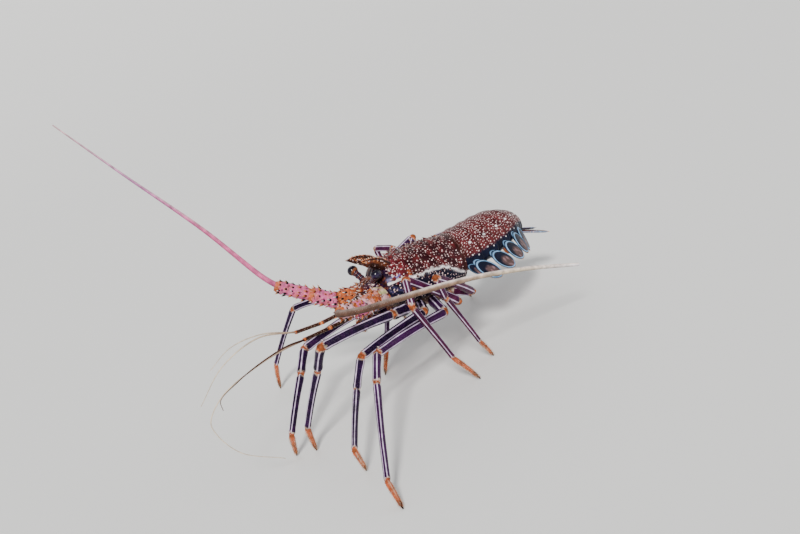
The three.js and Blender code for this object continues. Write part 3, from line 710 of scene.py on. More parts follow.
def shield_spine(skin, share, height, side, size):
    angle = side_angle(height + rng.uniform(-4, 4), side)
    length = (LONGEST_SPINE + (SHORTEST_SPINE - LONGEST_SPINE) * share) * rng.uniform(0.85, 1.15) * size
    direction = shield_normal(share, angle) - 0.9 * TAILWARD
    if share < 0.4:
        base = RED
    else:
        base = DARK_RED if rng.random() < 0.6 else BROWN
    radius = 0.17 * length + 0.45 * MM
    add_spine(skin, shield_point(share, angle), direction, length, radius, base, PINK_WHITE, change=0.6,
              curl=-TAILWARD)


def shield_spines(skin):
    step = ROW_REACH / (SPINES_PER_ROW - 1)
    for side in SIDES.values():
        for row in SPINE_ROWS:
            for i in range(SPINES_PER_ROW):
                share = ROW_START + step * i + rng.uniform(-STRAY, STRAY)
                shield_spine(skin, share, row, side, 1.0)
                if i < SPINES_PER_ROW - 1:
                    shield_spine(skin, share + 0.5 * step, row, side, 0.5)
        for row in LESSER_ROWS:
            for i in range(2 * SPINES_PER_ROW - 1):
                share = ROW_START + 0.01 + 0.5 * step * i + rng.uniform(-STRAY, STRAY)
                shield_spine(skin, share, row, side, rng.uniform(0.3, 0.6))


def shield_grain(skin, share, angle, radius, tint):
    add_grain(skin, shield_point(share, angle), shield_normal(share, angle), radius, tint)


def shield_grains(skin):
    """Small round grains all over the shield, and larger pale ones between horn and side."""
    for _ in range(GRAIN_COUNT):
        share = rng.uniform(0.17, 0.95)
        angle = math.radians(rng.uniform(-4, 184))
        tint = PINK_WHITE if rng.random() < 0.2 else DARK_RED
        shield_grain(skin, share, angle, rng.uniform(0.2, 0.4) * MM, tint)
    for _ in range(TUBERCLE_COUNT):
        for side in SIDES.values():
            share = rng.uniform(0.19, 0.35)
            angle = side_angle(rng.uniform(24, 58), side)
            shield_grain(skin, share, angle, rng.uniform(0.5, 0.85) * MM, PINK_WHITE)


HORN_JOINTS = [(-0.27, 0.12, 0.2), (-0.37, 0.135, 0.27), (-0.49, 0.145, 0.31), (-0.59, 0.15, 0.335)]
HORN_RADII = [6.0, 5.7, 4.2, 0.6]
HORN_ROWS = 60
HORN_SIDES = 36
HORN_GRAIN_ROWS = range(8, 52, 3)


def add_horn(skin, side):
    joints = [body_point(tail, side * right, rise) for tail, right, rise in HORN_JOINTS]
    path, length = curve_path(joints, HORN_ROWS)
    share = np.linspace(0, 1, HORN_ROWS)
    radii = between(HORN_RADII, share) * MM
    angle = around_angles(HORN_SIDES)
    spread = np.stack(np.broadcast_arrays(
        0.45 * length * share[:, None], 4 * MM * np.cos(angle), 4 * MM * np.sin(angle)), -1)
    streaks = blotches(spread, 4.5, 13, -0.15, 0.55)
    rough = 1 + 0.05 * waves(spread, 3 * MM, 14)
    tints = paint(
        blend(BROWN, RUST, 0.6 * streaks),
        (ORANGE, 0.4 * blotches(spread, 3.2, 15, 0.25, 0.7) * streaks),
        (MAROON, 0.7 * smooth(0.35, 0.0, share)[:, None]),
        (BLACK, 0.8 * bell(share, 0.93, 0.05)[:, None]),
        (CREAM, smooth(0.965, 1.0, share)[:, None]),
    )
    skin.grid(tube_grid(path, radii[:, None] * rough, HORN_SIDES, 0.82), tints, 0.35)
    along, tops = tube_frames(path)
    for step in HORN_GRAIN_ROWS:
        third = np.cross(along[step], tops[step])
        for turn in (-70, 0, 70):
            outward = spoke(math.radians(turn + rng.uniform(-18, 18)), tops[step], third)
            root = path[step] + outward * radii[step] * 0.9
            if turn == 0:
                add_spine(skin, root, outward + 1.2 * along[step], 2.4 * MM, 0.65 * MM, ORANGE, CREAM)
            else:
                tint = rng.choice([PALE_ORANGE, RUST, DARK_RED, PINK_WHITE])
                add_grain(skin, root, outward, rng.uniform(0.4, 0.75) * MM, tint)


SHIELD_ROWS = 300
SHIELD_SIDES = 360
NOSE_DEPTH = 7 * MM
NOSE_RELIEF = 0.6 * MM


def shield_nose(rim):
    """Rounded end that closes the shield's front, from its middle out to the rim."""
    turn = np.linspace(np.pi / 2 - 0.03, 0, 16)[:-1, None, None]
    hub = rim.mean(0)
    nose = hub + (rim - hub) * np.cos(turn) - TAILWARD * NOSE_DEPTH * np.sin(turn)
    nose = nose - TAILWARD * NOSE_RELIEF * waves(nose, 6 * MM, 24)[..., None] * np.sin(turn)
    tints = blend(PURPLE_BLACK, BROWN, blotches(nose, 5, 25, -0.3, 0.5))
    return nose, paint(tints, (RUST, 0.5 * blotches(nose, 4, 26, 0.2, 0.7)))


def make_carapace(material):
    skin = Skin()
    angle = np.ones((SHIELD_ROWS, 1)) * angles_from_below(SHIELD_SIDES)
    start = shield_front(angle)
    share = start + (1 - start) * np.linspace(0, 1, SHIELD_ROWS)[:, None]
    points = shield_point(share, angle)
    tints, marks = shield_tints(share, angle)
    marks[:3] = 0
    nose, nose_tints = shield_nose(points[0])
    marks = np.concatenate([np.zeros(nose.shape[:2]), marks])
    skin.grid(np.concatenate([nose, points]), np.concatenate([nose_tints, tints]), marks)
    shield_spines(skin)
    shield_grains(skin)
    for side in SIDES.values():
        add_horn(skin, side)
    make_piece("carapace_shell", skin, material, ["carapace"])


# Front of the head: rounded plate, feeler sockets with thorny rims, and thorns in the middle

HEAD_MIDDLE = (-0.43, 0.0, -0.03)
HEAD_RADII = (0.17, 0.21, 0.16)
SOCKET_RADIUS = 10.5 * MM
SOCKET_ENDS = [(-0.38, 0.14, -0.06), (-0.53, 0.2, -0.04)]
SOCKET_SPINES = 9
HEAD_GRAINS = 150
# Lesser thorns in the middle: tailward and upward shares of their roots, and length in millimetres
MIDDLE_THORNS = [(-0.565, 0.06, 4.5), (-0.53, 0.09, 3.6), (-0.585, 0.0, 3.4)]
# Corners of the white mark in front of the shield's edge, as tailward and upward shares
MARK_TIP = (-0.412, 0.073)
MARK_TOP = (-0.352, 0.105)
MARK_FOOT = (-0.372, 0.05)


def stroke(tail, rise, start, end):
    """Distance from a line drawn between two places on the head's side."""
    reach = np.array(end) - np.array(start)
    share = ((tail - start[0]) * reach[0] + (rise - start[1]) * reach[1]) / (reach @ reach)
    share = np.clip(share, 0, 1)
    return np.hypot(tail - start[0] - share * reach[0], rise - start[1] - share * reach[1])


def head_tints(tail, right, rise, points):
    blotch = blotches(points, 11, 9, -0.3, 0.6)
    side = smooth(0.05, 0.09, np.abs(right))
    above = smooth(0.0, 0.05, rise)
    oval = smooth(1.15, 0.85, np.hypot((tail + 0.445) / 0.032, (rise - 0.105) / 0.02))
    dab = smooth(1.2, 0.8, np.hypot((tail + 0.478) / 0.013, (rise - 0.085) / 0.01))
    mark = np.minimum(stroke(tail, rise, MARK_TIP, MARK_TOP), stroke(tail, rise, MARK_TIP, MARK_FOOT))
    return paint(
        blend(BROWN, RUST, 0.5 * blotch),
        (PURPLE_BLACK, 0.75 * blotches(points, 4.5, 10, 0.2, 0.6)),
        (RUST, 0.45 * (1 - side) * above * (0.3 + 0.7 * blotch)),
        (PURPLE_BLACK, 0.7 * side * above * smooth(-0.42, -0.45, tail)),
        (GREY_BLUE, 0.9 * side * oval),
        (PINK_WHITE, side * dab),
        (WHITE, side * smooth(0.011, 0.007, mark)),
    )


def add_socket(skin, side):
    inner, outer = [body_point(tail, side * right, rise) for tail, right, rise in SOCKET_ENDS]
    share = np.linspace(0, 1, 40)
    lip = 1 + 0.05 * bell(share, 0.95, 0.04) - 0.06 * bell(share, 0.85, 0.04)
    points = tube_grid(line_path(inner, outer, 40), SOCKET_RADIUS * lip, 64)
    tints = paint(
        blend(YELLOW_GREEN, ORANGE, blotches(points, 7, 17, -0.2, 0.5)),
        (PALE_PINK, 0.8 * blotches(points, 9, 19, 0.0, 0.5)),
        (PURPLE_BLACK, 0.85 * blotches(points, 5, 23, 0.35, 0.6)),
        (PURPLE_BLACK, 0.8 * bell(share, 0.86, 0.03)[:, None]),
    )
    skin.grid(points, tints, 0.7)
    along = unit(outer - inner)
    third = unit(np.cross(along, UP))
    over = np.cross(third, along)
    for k in range(SOCKET_SPINES):
        outward = spoke(2 * math.pi * k / SOCKET_SPINES, over, third)
        root = outer - 0.5 * MM * along + outward * 9.8 * MM
        size = rng.uniform(3.2, 4.8) * MM
        add_spine(skin, root, outward + 1.1 * along, size, 1.1 * MM, ORANGE, WHITE, BLACK, 8, 0.5, along)


def head_place(polar, turn):
    """Place on the head's front, and its tailward, rightward and upward shares."""
    local = np.broadcast_arrays(np.sin(polar) * np.cos(turn), np.sin(polar) * np.sin(turn), np.cos(polar))
    shares = [middle + radius * part for middle, radius, part in zip(HEAD_MIDDLE, HEAD_RADII, local)]
    return body_point(*shares), shares


def make_head_front(material):
    skin = Skin()
    polar = np.linspace(0.02, np.pi - 0.02, 90)[:, None]
    points, shares = head_place(polar, 2 * np.pi * np.arange(140) / 140)
    relief = 1 + 0.035 * waves(points, 8 * MM, 11) + 0.02 * waves(points, 3.5 * MM, 12)
    middle = body_point(*HEAD_MIDDLE)
    skin.grid(middle + (points - middle) * relief[..., None], head_tints(*shares, points), 0.5)
    for _ in range(HEAD_GRAINS):
        root, _ = head_place(rng.uniform(0.15, 1.7), rng.uniform(math.pi * 0.5, math.pi * 1.5))
        tint = rng.choice([PINK_WHITE, RUST, DARK_RED, PURPLE_BLACK])
        add_grain(skin, root, root - middle, rng.uniform(0.3, 0.75) * MM, tint)
    for side in SIDES.values():
        add_socket(skin, side)
        thorn = body_point(-0.58, side * 0.06, 0.04)
        add_spine(skin, thorn, np.array([-1, side * 0.3, 0.5]), 7 * MM, 1.7 * MM, ORANGE, CREAM, DARK_RED)
        for tail, rise, size in MIDDLE_THORNS:
            root = body_point(tail, side * 0.035, rise)
            add_spine(skin, root, np.array([-1, side * 0.25, 0.7]), size * MM, MM, ORANGE, WHITE, BLACK)
    make_piece("head_front_shell", skin, material, ["head_front"])


# Eyes: a dark wet ball on a ringed stalk under each horn

EYE_PLACES = {"left": (-0.455, -0.225, 0.19), "right": (-0.52, 0.195, 0.2)}
EYE_RADII = (5.2 * MM, 5.8 * MM, 5.2 * MM)
# How fast the rings of the stalk follow each other
EYE_BANDS = 26
EYE_DARK = (0.003, 0.001, 0.008)
EYE_SHEEN = (0.014, 0.005, 0.042)


def make_eye(side_name, side, material):
    skin = Skin()
    root = body_point(-0.46, side * 0.08, 0.08)
    middle = body_point(*EYE_PLACES[side_name])
    share = np.linspace(0, 1, 30)
    bands = np.sin(share * EYE_BANDS)
    tints = blend(DARK_RED, PURPLE_BLACK, smooth(-0.3, 0.3, bands))[:, None]
    reach = (3.0 + 0.8 * share + 0.25 * bands) * MM
    skin.grid(tube_grid(line_path(root, middle, 30), reach, 32), tints, 0.2)
    out = unit(0.55 * unit(middle - root) + np.array([-0.25, side * 0.8, 0.1]))
    across = unit(-TAILWARD - out * (-TAILWARD @ out))
    ball, local = ball_points(middle, (out, across, np.cross(out, across)), EYE_RADII, 60, 72)
    sheen = bell(local[..., 2], 0.2, 0.35) * smooth(-0.2, 0.6, local[..., 0])
    tints = paint(
        blend(EYE_DARK, EYE_SHEEN, 0.8 * sheen),
        (RUST, smooth(-0.62, -0.75, local[..., 0])),
        (PALE_ORANGE, 0.5 * bell(local[..., 0], -0.6, 0.05)),
    )
    skin.grid(ball, tints)
    make_piece(f"eye_{side_name}_ball", skin, material, [f"eye_{side_name}"])


def make_eyes(material):
    for side_name, side in SIDES.items():
        make_eye(side_name, side, material)


# Breastplate: five plates in a row between the leg roots

STERNUM_WIDTHS = [0.09, 0.15, 0.2, 0.225, 0.2]


def make_sternum(material):
    share = np.linspace(0, 1, 140)[:, None]
    angle = angles_from_below(96)[None]
    part = (share * len(STERNUM_WIDTHS)) % 1
    seam = np.maximum(bell(part, 0.0, 0.07), bell(part, 1.0, 0.07))
    width = between(STERNUM_WIDTHS, share) * (1 - 0.05 * seam)
    below = np.sin(angle) < 0
    keel = 0.010 * bell(np.cos(angle), 0, 0.16) * below
    depth = 0.085 - 0.006 * seam * below + keel
    points = body_point(-0.32 + 0.78 * share, width * np.cos(angle), -0.25 + depth * np.sin(angle))
    blotch = blotches(points, 9, 21, -0.1, 0.7)
    skin = Skin()
    skin.grid(points, paint(blend(PATCH_BROWN, CREAM, 0.55 * blotch), (ORANGE, 0.5 * seam)), 0.6)
    make_piece("sternum_plates", skin, material, ["sternum"])


# Big feelers: three spiny stem joints and a long ringed whip on each side

FEELER_STEMS = {
    "left": [body_point(-0.5, -0.19, -0.04), *spots((-68, -37, 111), (-81, -44, 118), (-96, -52, 125))],
    "right": [body_point(-0.5, 0.19, -0.04), *spots((-66, 33, 106), (-88, 41, 125), (-114, 52, 147))],
}
STEM_RADII = [9.6, 9.0, 7.6, 6.2]
STEM_NAMES = ["base", "middle", "end"]
STEM_SPINE_RINGS = [0.18, 0.36, 0.54, 0.72, 0.88]
STEM_SPINES_AROUND = 8
STEM_TONES = {
    "left": [(ORANGE, PALE_PINK), (PINK, ORANGE), (PALE_PINK, ORANGE)],
    "right": [(ORANGE, CRIMSON), (PINK, ORANGE), (PINK, ORANGE)],
}
WHIP_ROUTES = {
    "left": spots(
        (-92, -50, 123), (-99, -60, 127), (-98, -76, 130), (-84, -94, 130),
        (-55, -104, 126), (9, -104, 110), (72, -104, 88), (135, -104, 60),
    ),
    "right": spots((-110, 50, 144), (-120, 55, 160), (-149, 76, 227), (-192, 104, 310), (-226, 120, 376)),
}
WHIP_RADII = {"left": (3.6, 1.7), "right": (3.0, 0.6)}


def limb_radii(low, high, share, start, end):
    """Radii along one limb stretch: pinched ends, a collar before each joint, a slight waist."""
    length = np.linalg.norm(end - start)
    from_start = share * length / low
    to_end = (1 - share) * length / low
    swell = 0.80 + 0.20 * smooth(0.0, 1.0, from_start)
    collar = 0.08 * bell(to_end, 1.0, 0.55)
    pinch = -0.20 * smooth(0.7, 0.0, to_end)
    return (low + (high - low) * share) * (swell + collar + pinch - 0.06 * bell(share, 0.45, 0.28))


def make_stem(side_name, i, material):
    body_tint, end_tint = STEM_TONES[side_name][i]
    joints = FEELER_STEMS[side_name]
    end = joints[i + 1]
    heading = unit(end - joints[i])
    root = joints[i] - heading * 0.35 * STEM_RADII[i] * MM
    rows = 80
    share = np.linspace(0, 1, rows)
    path = line_path(root, end, rows)
    radii = limb_radii(STEM_RADII[i] * MM, STEM_RADII[i + 1] * MM, share, root, end)
    points = tube_grid(path, radii, 64)
    relief = 1 + 0.03 * waves(points, 5 * MM, 33 + i)
    points = path[:, None] + (points - path[:, None]) * relief[..., None]
    ends = np.maximum(smooth(0.16, 0.04, share), smooth(0.80, 0.92, share))[:, None]
    blotch = np.clip(0.4 * blotches(points, 9, 31 + i, -0.1, 0.6) + 0.9 * ends, 0, 1)
    dark = blotches(points, 5, 35 + i, 0.45, 0.75) * (1 - ends)
    skin = Skin()
    skin.grid(points, paint(blend(body_tint, end_tint, blotch), (WINE, 0.7 * dark)), 0.55)
    along, tops = tube_frames(path)
    third = np.cross(along[0], tops[0])
    for ring, place in enumerate(STEM_SPINE_RINGS):
        index = int(place * (rows - 1))
        for k in range(STEM_SPINES_AROUND):
            turn = 2 * math.pi * (k + 0.5 * (ring % 2)) / STEM_SPINES_AROUND + rng.uniform(-0.2, 0.2)
            outward = spoke(turn, tops[0], third)
            foot = path[index] + outward * radii[index] * 0.96
            size = rng.uniform(2.6, 5.4) * MM
            tip = WHITE if rng.random() < 0.45 else PALE_ORANGE
            base = BLACK if rng.random() < 0.5 else end_tint
            add_spine(skin, foot, outward + 0.8 * heading, size, 0.17 * size + 0.4 * MM, base, tip, BLACK,
                      curl=heading)
    name = f"antenna_{side_name}_{STEM_NAMES[i]}"
    make_piece(f"{name}_shell", skin, material, [name])


def gradient(tones, share):
    """Colour read along a list of evenly spaced tones."""
    stops = np.linspace(0, 1, len(tones))
    return np.stack([np.interp(share, stops, [tone[k] for tone in tones]) for k in range(3)], -1)


WHIP_SIDES = 16
# The rows of one whip ring: how wide each is
RING_NOTCHES = [0.91, 1.03, 1.0, 0.99]


def make_whip(name, route, root_radius, tip_radius, tones, material, ring_pitch, stripe=0.0):
    """Long feeler of many short rings, with painted shade darkening its underside and a painted highlight
    along its top as strong as stripe; a thick one has small spines along its sides near the root.
    """
    skin = Skin()
    _, length = curve_path(route, 10)
    steps = int(length / ring_pitch) * len(RING_NOTCHES) + 1
    path, _ = curve_path(route, steps)
    share = np.linspace(0, 1, steps)
    phase = np.arange(steps) % len(RING_NOTCHES)
    radii = (root_radius + (tip_radius - root_radius) * share) * np.choose(phase, RING_NOTCHES)
    rise = np.cos(around_angles(WHIP_SIDES))
    groove = np.where(phase == 0, 0.74, 1.0)[:, None, None]
    # belly is painted shade: the tint is darkened by up to 30 percent on the whip's underside
    belly = (1 - 0.3 * smooth(0.2, -0.8, rise))[None, :, None]
    # top is a painted highlight: a pale cream band along the whip's upper side, as strong as stripe
    top = smooth(0.2, 0.7, rise)[None] * (0.15 + 0.85 * smooth(0.2, 0.5, share))[:, None]
    tints = paint(gradient(tones, share)[:, None] * belly, (HIGHLIGHT_CREAM, stripe * top))
    skin.grid(tube_grid(path, radii, WHIP_SIDES), tints * groove)
    along, tops = tube_frames(path)
    third = np.cross(along, tops)
    if root_radius > 2 * MM:
        for i in range(12, int(steps * 0.6), 8):
            for side in (-1, 1):
                outward = unit(side * third[i] + 0.2 * tops[i])
                foot = path[i] + outward * radii[i] * 0.9
                size = 0.95 * MM * (1.3 - share[i])
                add_spine(skin, foot, outward + along[i], size, 0.3 * size, tones[0], tones[-1], None, 5)
    make_piece(f"{name}_rings", skin, material, [name])


WHIP_TONES = {"left": [TAN, TAN, PALE_TAN, CREAM, WHITE], "right": [PINK, PINK, LILAC, PALE_PINK]}
# How strong the painted highlight along the top of each big whip is
WHIP_HIGHLIGHTS = {"left": 0.95, "right": 0.25}
RING_PITCH = 1.6 * MM


def make_big_feelers(material):
    for side_name in SIDES:
        for i in range(len(STEM_NAMES)):
            make_stem(side_name, i, material)
        root, tip = WHIP_RADII[side_name]
        make_whip(f"antenna_{side_name}_whip", WHIP_ROUTES[side_name], root * MM, tip * MM,
                  WHIP_TONES[side_name], material, RING_PITCH, WHIP_HIGHLIGHTS[side_name])


# Small feelers: a thin three-jointed stem and two fine whips on each side

SMALL_STEMS = {
    "left": [body_point(-0.56, -0.06, -0.03), *spots((-78, -16, 101), (-102, -24, 106), (-132, -30, 111))],
    "right": [body_point(-0.56, 0.06, -0.03), *spots((-72, 12, 100), (-96, 16, 100), (-124, 20, 104))],
}
SMALL_STEM_RADII = [2.6, 2.3, 2.0, 1.9]
SMALL_WHIPS = {
    "left": {
        "outer": spots(
            (-131, -31, 111), (-149, -33, 115), (-179, -36, 115),
            (-206, -38, 111), (-227, -39, 104), (-229, -40, 95),
        ),
        "inner": spots(
            (-131, -28.5, 110), (-150, -26, 111), (-180, -25, 110), (-222, -28, 103),
            (-242, -30, 88), (-243, -30, 76), (-231, -29, 46), (-196, -26, 15),
        ),
    },
    "right": {
        "outer": spots((-123, 21.5, 104), (-158, 27, 116), (-201, 34, 106), (-236, 38, 80)),
        "inner": spots((-123, 18.5, 104), (-156, 14, 122), (-190, 10, 127), (-216, 8, 118)),
    },
}
SMALL_WHIP_RADII = {"outer": 1.0 * MM, "inner": 0.75 * MM}
SMALL_WHIP_TIP = 0.32 * MM
SMALL_RING_PITCH = 1.3 * MM


def make_small_stem(side_name, material):
    skin = Skin()
    joints = SMALL_STEMS[side_name]
    share = np.linspace(0, 1, 60)
    ends = np.maximum(smooth(0.10, 0.03, share), smooth(0.90, 0.96, share))[:, None]
    stripe = smooth(0.55, 0.85, np.cos(around_angles(28) - 0.6))[None] * (1 - ends)
    tints = paint(blend(BROWN, ORANGE, ends), (PINK_WHITE, 0.85 * stripe))
    for i, (start, end) in enumerate(zip(joints[:-1], joints[1:])):
        low, high = SMALL_STEM_RADII[i] * MM, SMALL_STEM_RADII[i + 1] * MM
        radii = limb_radii(low, high, share, start, end)
        skin.grid(tube_grid(line_path(start, end, 60), radii, 28), tints, 0.3)
        ball, _ = ball_points(start, np.eye(3), np.full(3, 0.9 * low), 12, 16)
        skin.grid(ball, PALE_ORANGE)
    make_piece(f"antennule_{side_name}_stem", skin, material, [f"antennule_{side_name}"])


def make_small_feelers(materials):
    for side_name in SIDES:
        make_small_stem(side_name, materials["leg"])
        for whip_name, route in SMALL_WHIPS[side_name].items():
            dark = side_name == "left" and whip_name == "outer"
            tones = [BROWN, TAN] if dark else [PALE_TAN, CREAM, CREAM]
            make_whip(f"antennule_{side_name}_{whip_name}", route, SMALL_WHIP_RADII[whip_name],
                      SMALL_WHIP_TIP, tones, materials["feeler"], SMALL_RING_PITCH)


# Legs

# Each pair: the hip's tailward share, the lengths of the wrist, shin and toe stretches as shares of the
# shell's length, the thickness and the tone
LEG_PAIRS = [
    (-0.2, 0.3, 0.64, 0.28, 1.1, PURPLE_BLACK),
    (-0.04, 0.33, 0.8, 0.32, 1.0, PURPLE_BLACK),
    (0.1, 0.35, 1.0, 0.27, 1.0, PURPLE),
    (0.24, 0.3, 0.72, 0.34, 0.95, WINE),
    (0.38, 0.3, 0.66, 0.26, 0.85, WINE),
]
# Each leg: its root in body shares, its knee and foot in millimetres, how far the toe leans out from its
# joint, and the turn of the bent wrist round the line from knee to toe, in degrees
LEG_POSES = {
    "left": [
        ((-0.44, -0.33, -0.22), (-127, -57, 106), (-164, -18), (0, 5), 87),
        ((-0.14, -0.43, -0.28), (-94, -54, 76), (-150, -106), (5, 11), 145),
        ((0.05, -0.49, -0.34), (-85, -73, 78), (-158, -192), (-3, -20), 47),
        ((0.24, -0.47, -0.29), (-21, -51, 119), (0, -80), (13, -12), 69),
        ((0.46, -0.4, -0.27), (-1, -74, 114), (35, -54), (10, 4), -77),
    ],
    "right": [
        ((-0.4, 0.4, -0.28), (-118, 38, 77), (-181, -4), (-2, 10), -49),
        ((-0.12, 0.45, -0.3), (-63, 104, 94), (-131, 168), (-6, 6), 0),
        ((0.1, 0.45, -0.3), (54, 65, 115), (-47, 45), (-14, -4), 29),
        ((0.28, 0.44, -0.29), (46, 110, 100), (40, 150), (2, 16), 0),
        ((0.46, 0.38, -0.27), (85, 82, 96), (112, 104), (8, 10), 0),
    ],
}
UPPER_LEG_RADII = [6.2 * MM, 5.0 * MM, 4.1 * MM]
LOWER_LEG_RADII = [4.4 * MM, 3.7 * MM, 2.7 * MM]
TOE_LIFT = 0.45 * MM * UP
KNEE_SPINE = 4.5 * MM
LEG_SIDES = 64
STRIPE_TURNS = [-117, -27, 27, 117]
TOE_SIDES = 32
BRISTLE_ROWS = 8


def bend_between(knee, toe_joint, upper, lower, swing):
    """Wrist place from the two lengths between the knee and the toe joint."""
    reach = toe_joint - knee
    distance = np.linalg.norm(reach)
    span = min(distance, 0.999 * (upper + lower))
    share = (upper**2 - lower**2 + span**2) / (2 * span)
    bow = math.sqrt(max(upper**2 - share**2, 0))
    reach = unit(reach)
    outward = turned(top_of(reach), reach, math.radians(swing))
    return knee + reach * (share * distance / span) + outward * bow


def leg_joints(side_name, side, number):
    hip, wrist, shin, toe, _, _ = LEG_PAIRS[number - 1]
    root, knee, foot, lean, swing = LEG_POSES[side_name][number - 1]
    knee = spot(*knee)
    foot = spot(*foot, 0)
    lean = spot(*lean, 0)
    toe_joint = foot - lean
    toe_joint[2] = math.sqrt((toe * SHELL) ** 2 - lean @ lean)
    return {
        "hip": body_point(hip, side * 0.17, -0.27),
        "root": body_point(*root),
        "knee": knee,
        "wrist": bend_between(knee, toe_joint, wrist * SHELL, shin * SHELL, swing),
        "toe_joint": toe_joint,
        "foot": foot,
    }


def stripe_strength(rows, angle):
    """Four thin pale lines along a leg."""
    degrees = np.degrees(angle)[None]
    drift = np.arange(rows)[:, None] * 0.09
    strength = 0.0
    for k, middle in enumerate(STRIPE_TURNS):
        gap = (degrees - middle - 3 * np.sin(drift + 2 * k) + 180) % 360 - 180
        strength = np.maximum(strength, smooth(9.5, 5.0, np.abs(gap)))
    return strength


def add_leg_stretch(skin, start, end, radius_start, radius_end, tone, patch_start, patch_end, bow=0.02):
    """One stretch of a leg: lines lengthwise, small orange patches beside its joints."""
    length = np.linalg.norm(end - start)
    rows = max(int(length / MM), 26)
    share = np.linspace(0, 1, rows)
    along = unit(end - start)
    path = line_path(start, end, rows, (UP - along * (UP @ along)) * bow * length)
    radii = limb_radii(radius_start, radius_end, share, start, end)
    angle = around_angles(LEG_SIDES)
    stripes = stripe_strength(rows, angle)
    ridge = 1 + 0.02 * stripes + 0.025 * np.cos(3 * angle)[None]
    points = tube_grid(path, radii[:, None] * ridge, LEG_SIDES)
    ragged = 1.3 * MM * waves(points, 5 * MM, 43)
    sides = [(patch_start, (share * length)[:, None] + ragged),
             (patch_end, ((1 - share) * length)[:, None] + ragged)]
    patch = np.maximum(*[smooth(reach, reach - 0.8 * MM, gap) for reach, gap in sides])
    border = np.maximum(*[bell(gap, reach, 0.5 * MM) for reach, gap in sides])
    tints = paint(
        blend(tone, PURPLE, 0.5 * blotches(points, 10, 44, 0.0, 0.7)),
        (LILAC_WHITE, stripes * (1 - patch)),
        (JOINT_ORANGE, patch),
        (CREAM, 0.6 * border),
        (BROWN, 0.6 * blotches(points, 3, 45, 0.3, 0.7) * patch),
    )
    skin.grid(points, tints, 0.7 * patch + 0.06)


def add_toe(skin, start, end, radius_start):
    """Last stretch: an orange, bristly toe that ends in a dark claw."""
    length = np.linalg.norm(end - start)
    rows = max(int(length / (0.6 * MM)), 30)
    share = np.linspace(0, 1, rows)
    outward = unit(np.array([*(end - start)[:2], 0.0]) + 1e-9)
    path = line_path(start, end, rows, 0.025 * length * (0.6 * outward + 0.5 * UP))
    claw = smooth(0.8, 1.0, share)
    profile = (1 - 0.45 * share) * (1 - claw) + 0.22 * claw
    profile = profile * (0.82 + 0.18 * smooth(0.0, 0.1, share))
    radii = np.maximum(radius_start * profile, 0.3 * MM)
    points = tube_grid(path, radii, TOE_SIDES)
    down = share[:, None]
    dark = np.clip(smooth(0.5, 0.95, down) + 0.35 * waves(points, 4 * MM, 47), 0, 1)
    stripes = smooth(0.86, 0.97, np.cos(around_angles(TOE_SIDES) * 2 + 0.6))[None] * smooth(0.75, 0.4, down)
    tints = paint(
        blend(JOINT_ORANGE, BROWN, dark),
        (CREAM, 0.4 * stripes),
        (BLACK, smooth(0.9, 0.98, down)),
    )
    skin.grid(points, tints, 0.2)
    return path, radii


def add_joint(skin, joint, along, radius):
    """Pale skin ball inside a joint and a small hinge knob on each side of it."""
    along = unit(along)
    side = unit(np.cross(along, UP))
    axes = (along, side, np.cross(along, side))
    ball, _ = ball_points(joint, axes, np.full(3, 0.84 * radius), 16, 24)
    skin.grid(ball, RUST)
    for sign in (-1, 1):
        knob, _ = ball_points(joint + sign * side * 0.72 * radius, axes, np.full(3, 0.27 * radius), 10, 14)
        skin.grid(knob, ORANGE)


def add_bristles(skin, path, radii, length):
    """Rows of stiff hairs along a toe, with each hair's place on the unrolled toe for its own patch."""
    along = unit(path[-1] - path[0])
    top = top_of(along) if abs(along[2]) < 0.95 else np.array([1.0, 0, 0])
    third = np.cross(along, top)
    count = len(path)
    for i in range(int(0.08 * count), int(0.93 * count)):
        for row in range(BRISTLE_ROWS):
            turn = 2 * math.pi * (row + rng.uniform(-0.3, 0.3)) / BRISTLE_ROWS
            outward = spoke(turn, top, third)
            root = path[i] + outward * radii[i] * 0.9
            heading = unit(outward + along * rng.uniform(0.9, 1.6))
            size = length * rng.uniform(0.6, 1.1)
            if (root + heading * size * 1.15)[2] < 0.4 * MM:
                continue
            tint = PALE_ORANGE if rng.random() < 0.6 else CREAM
            add_bristle(skin, root, heading, size, 0.09 * MM, tint, (turn / (2 * math.pi) % 1.0, i / count))


def add_leg_spine(skin, joint, heading, back, reach, lean, length, radius):
    """Spine on top of a leg, a little before its joint."""
    top = top_of(heading)
    root = joint - heading * back + top * reach
    add_spine(skin, root, top + lean * heading, length, radius, ORANGE, WHITE)


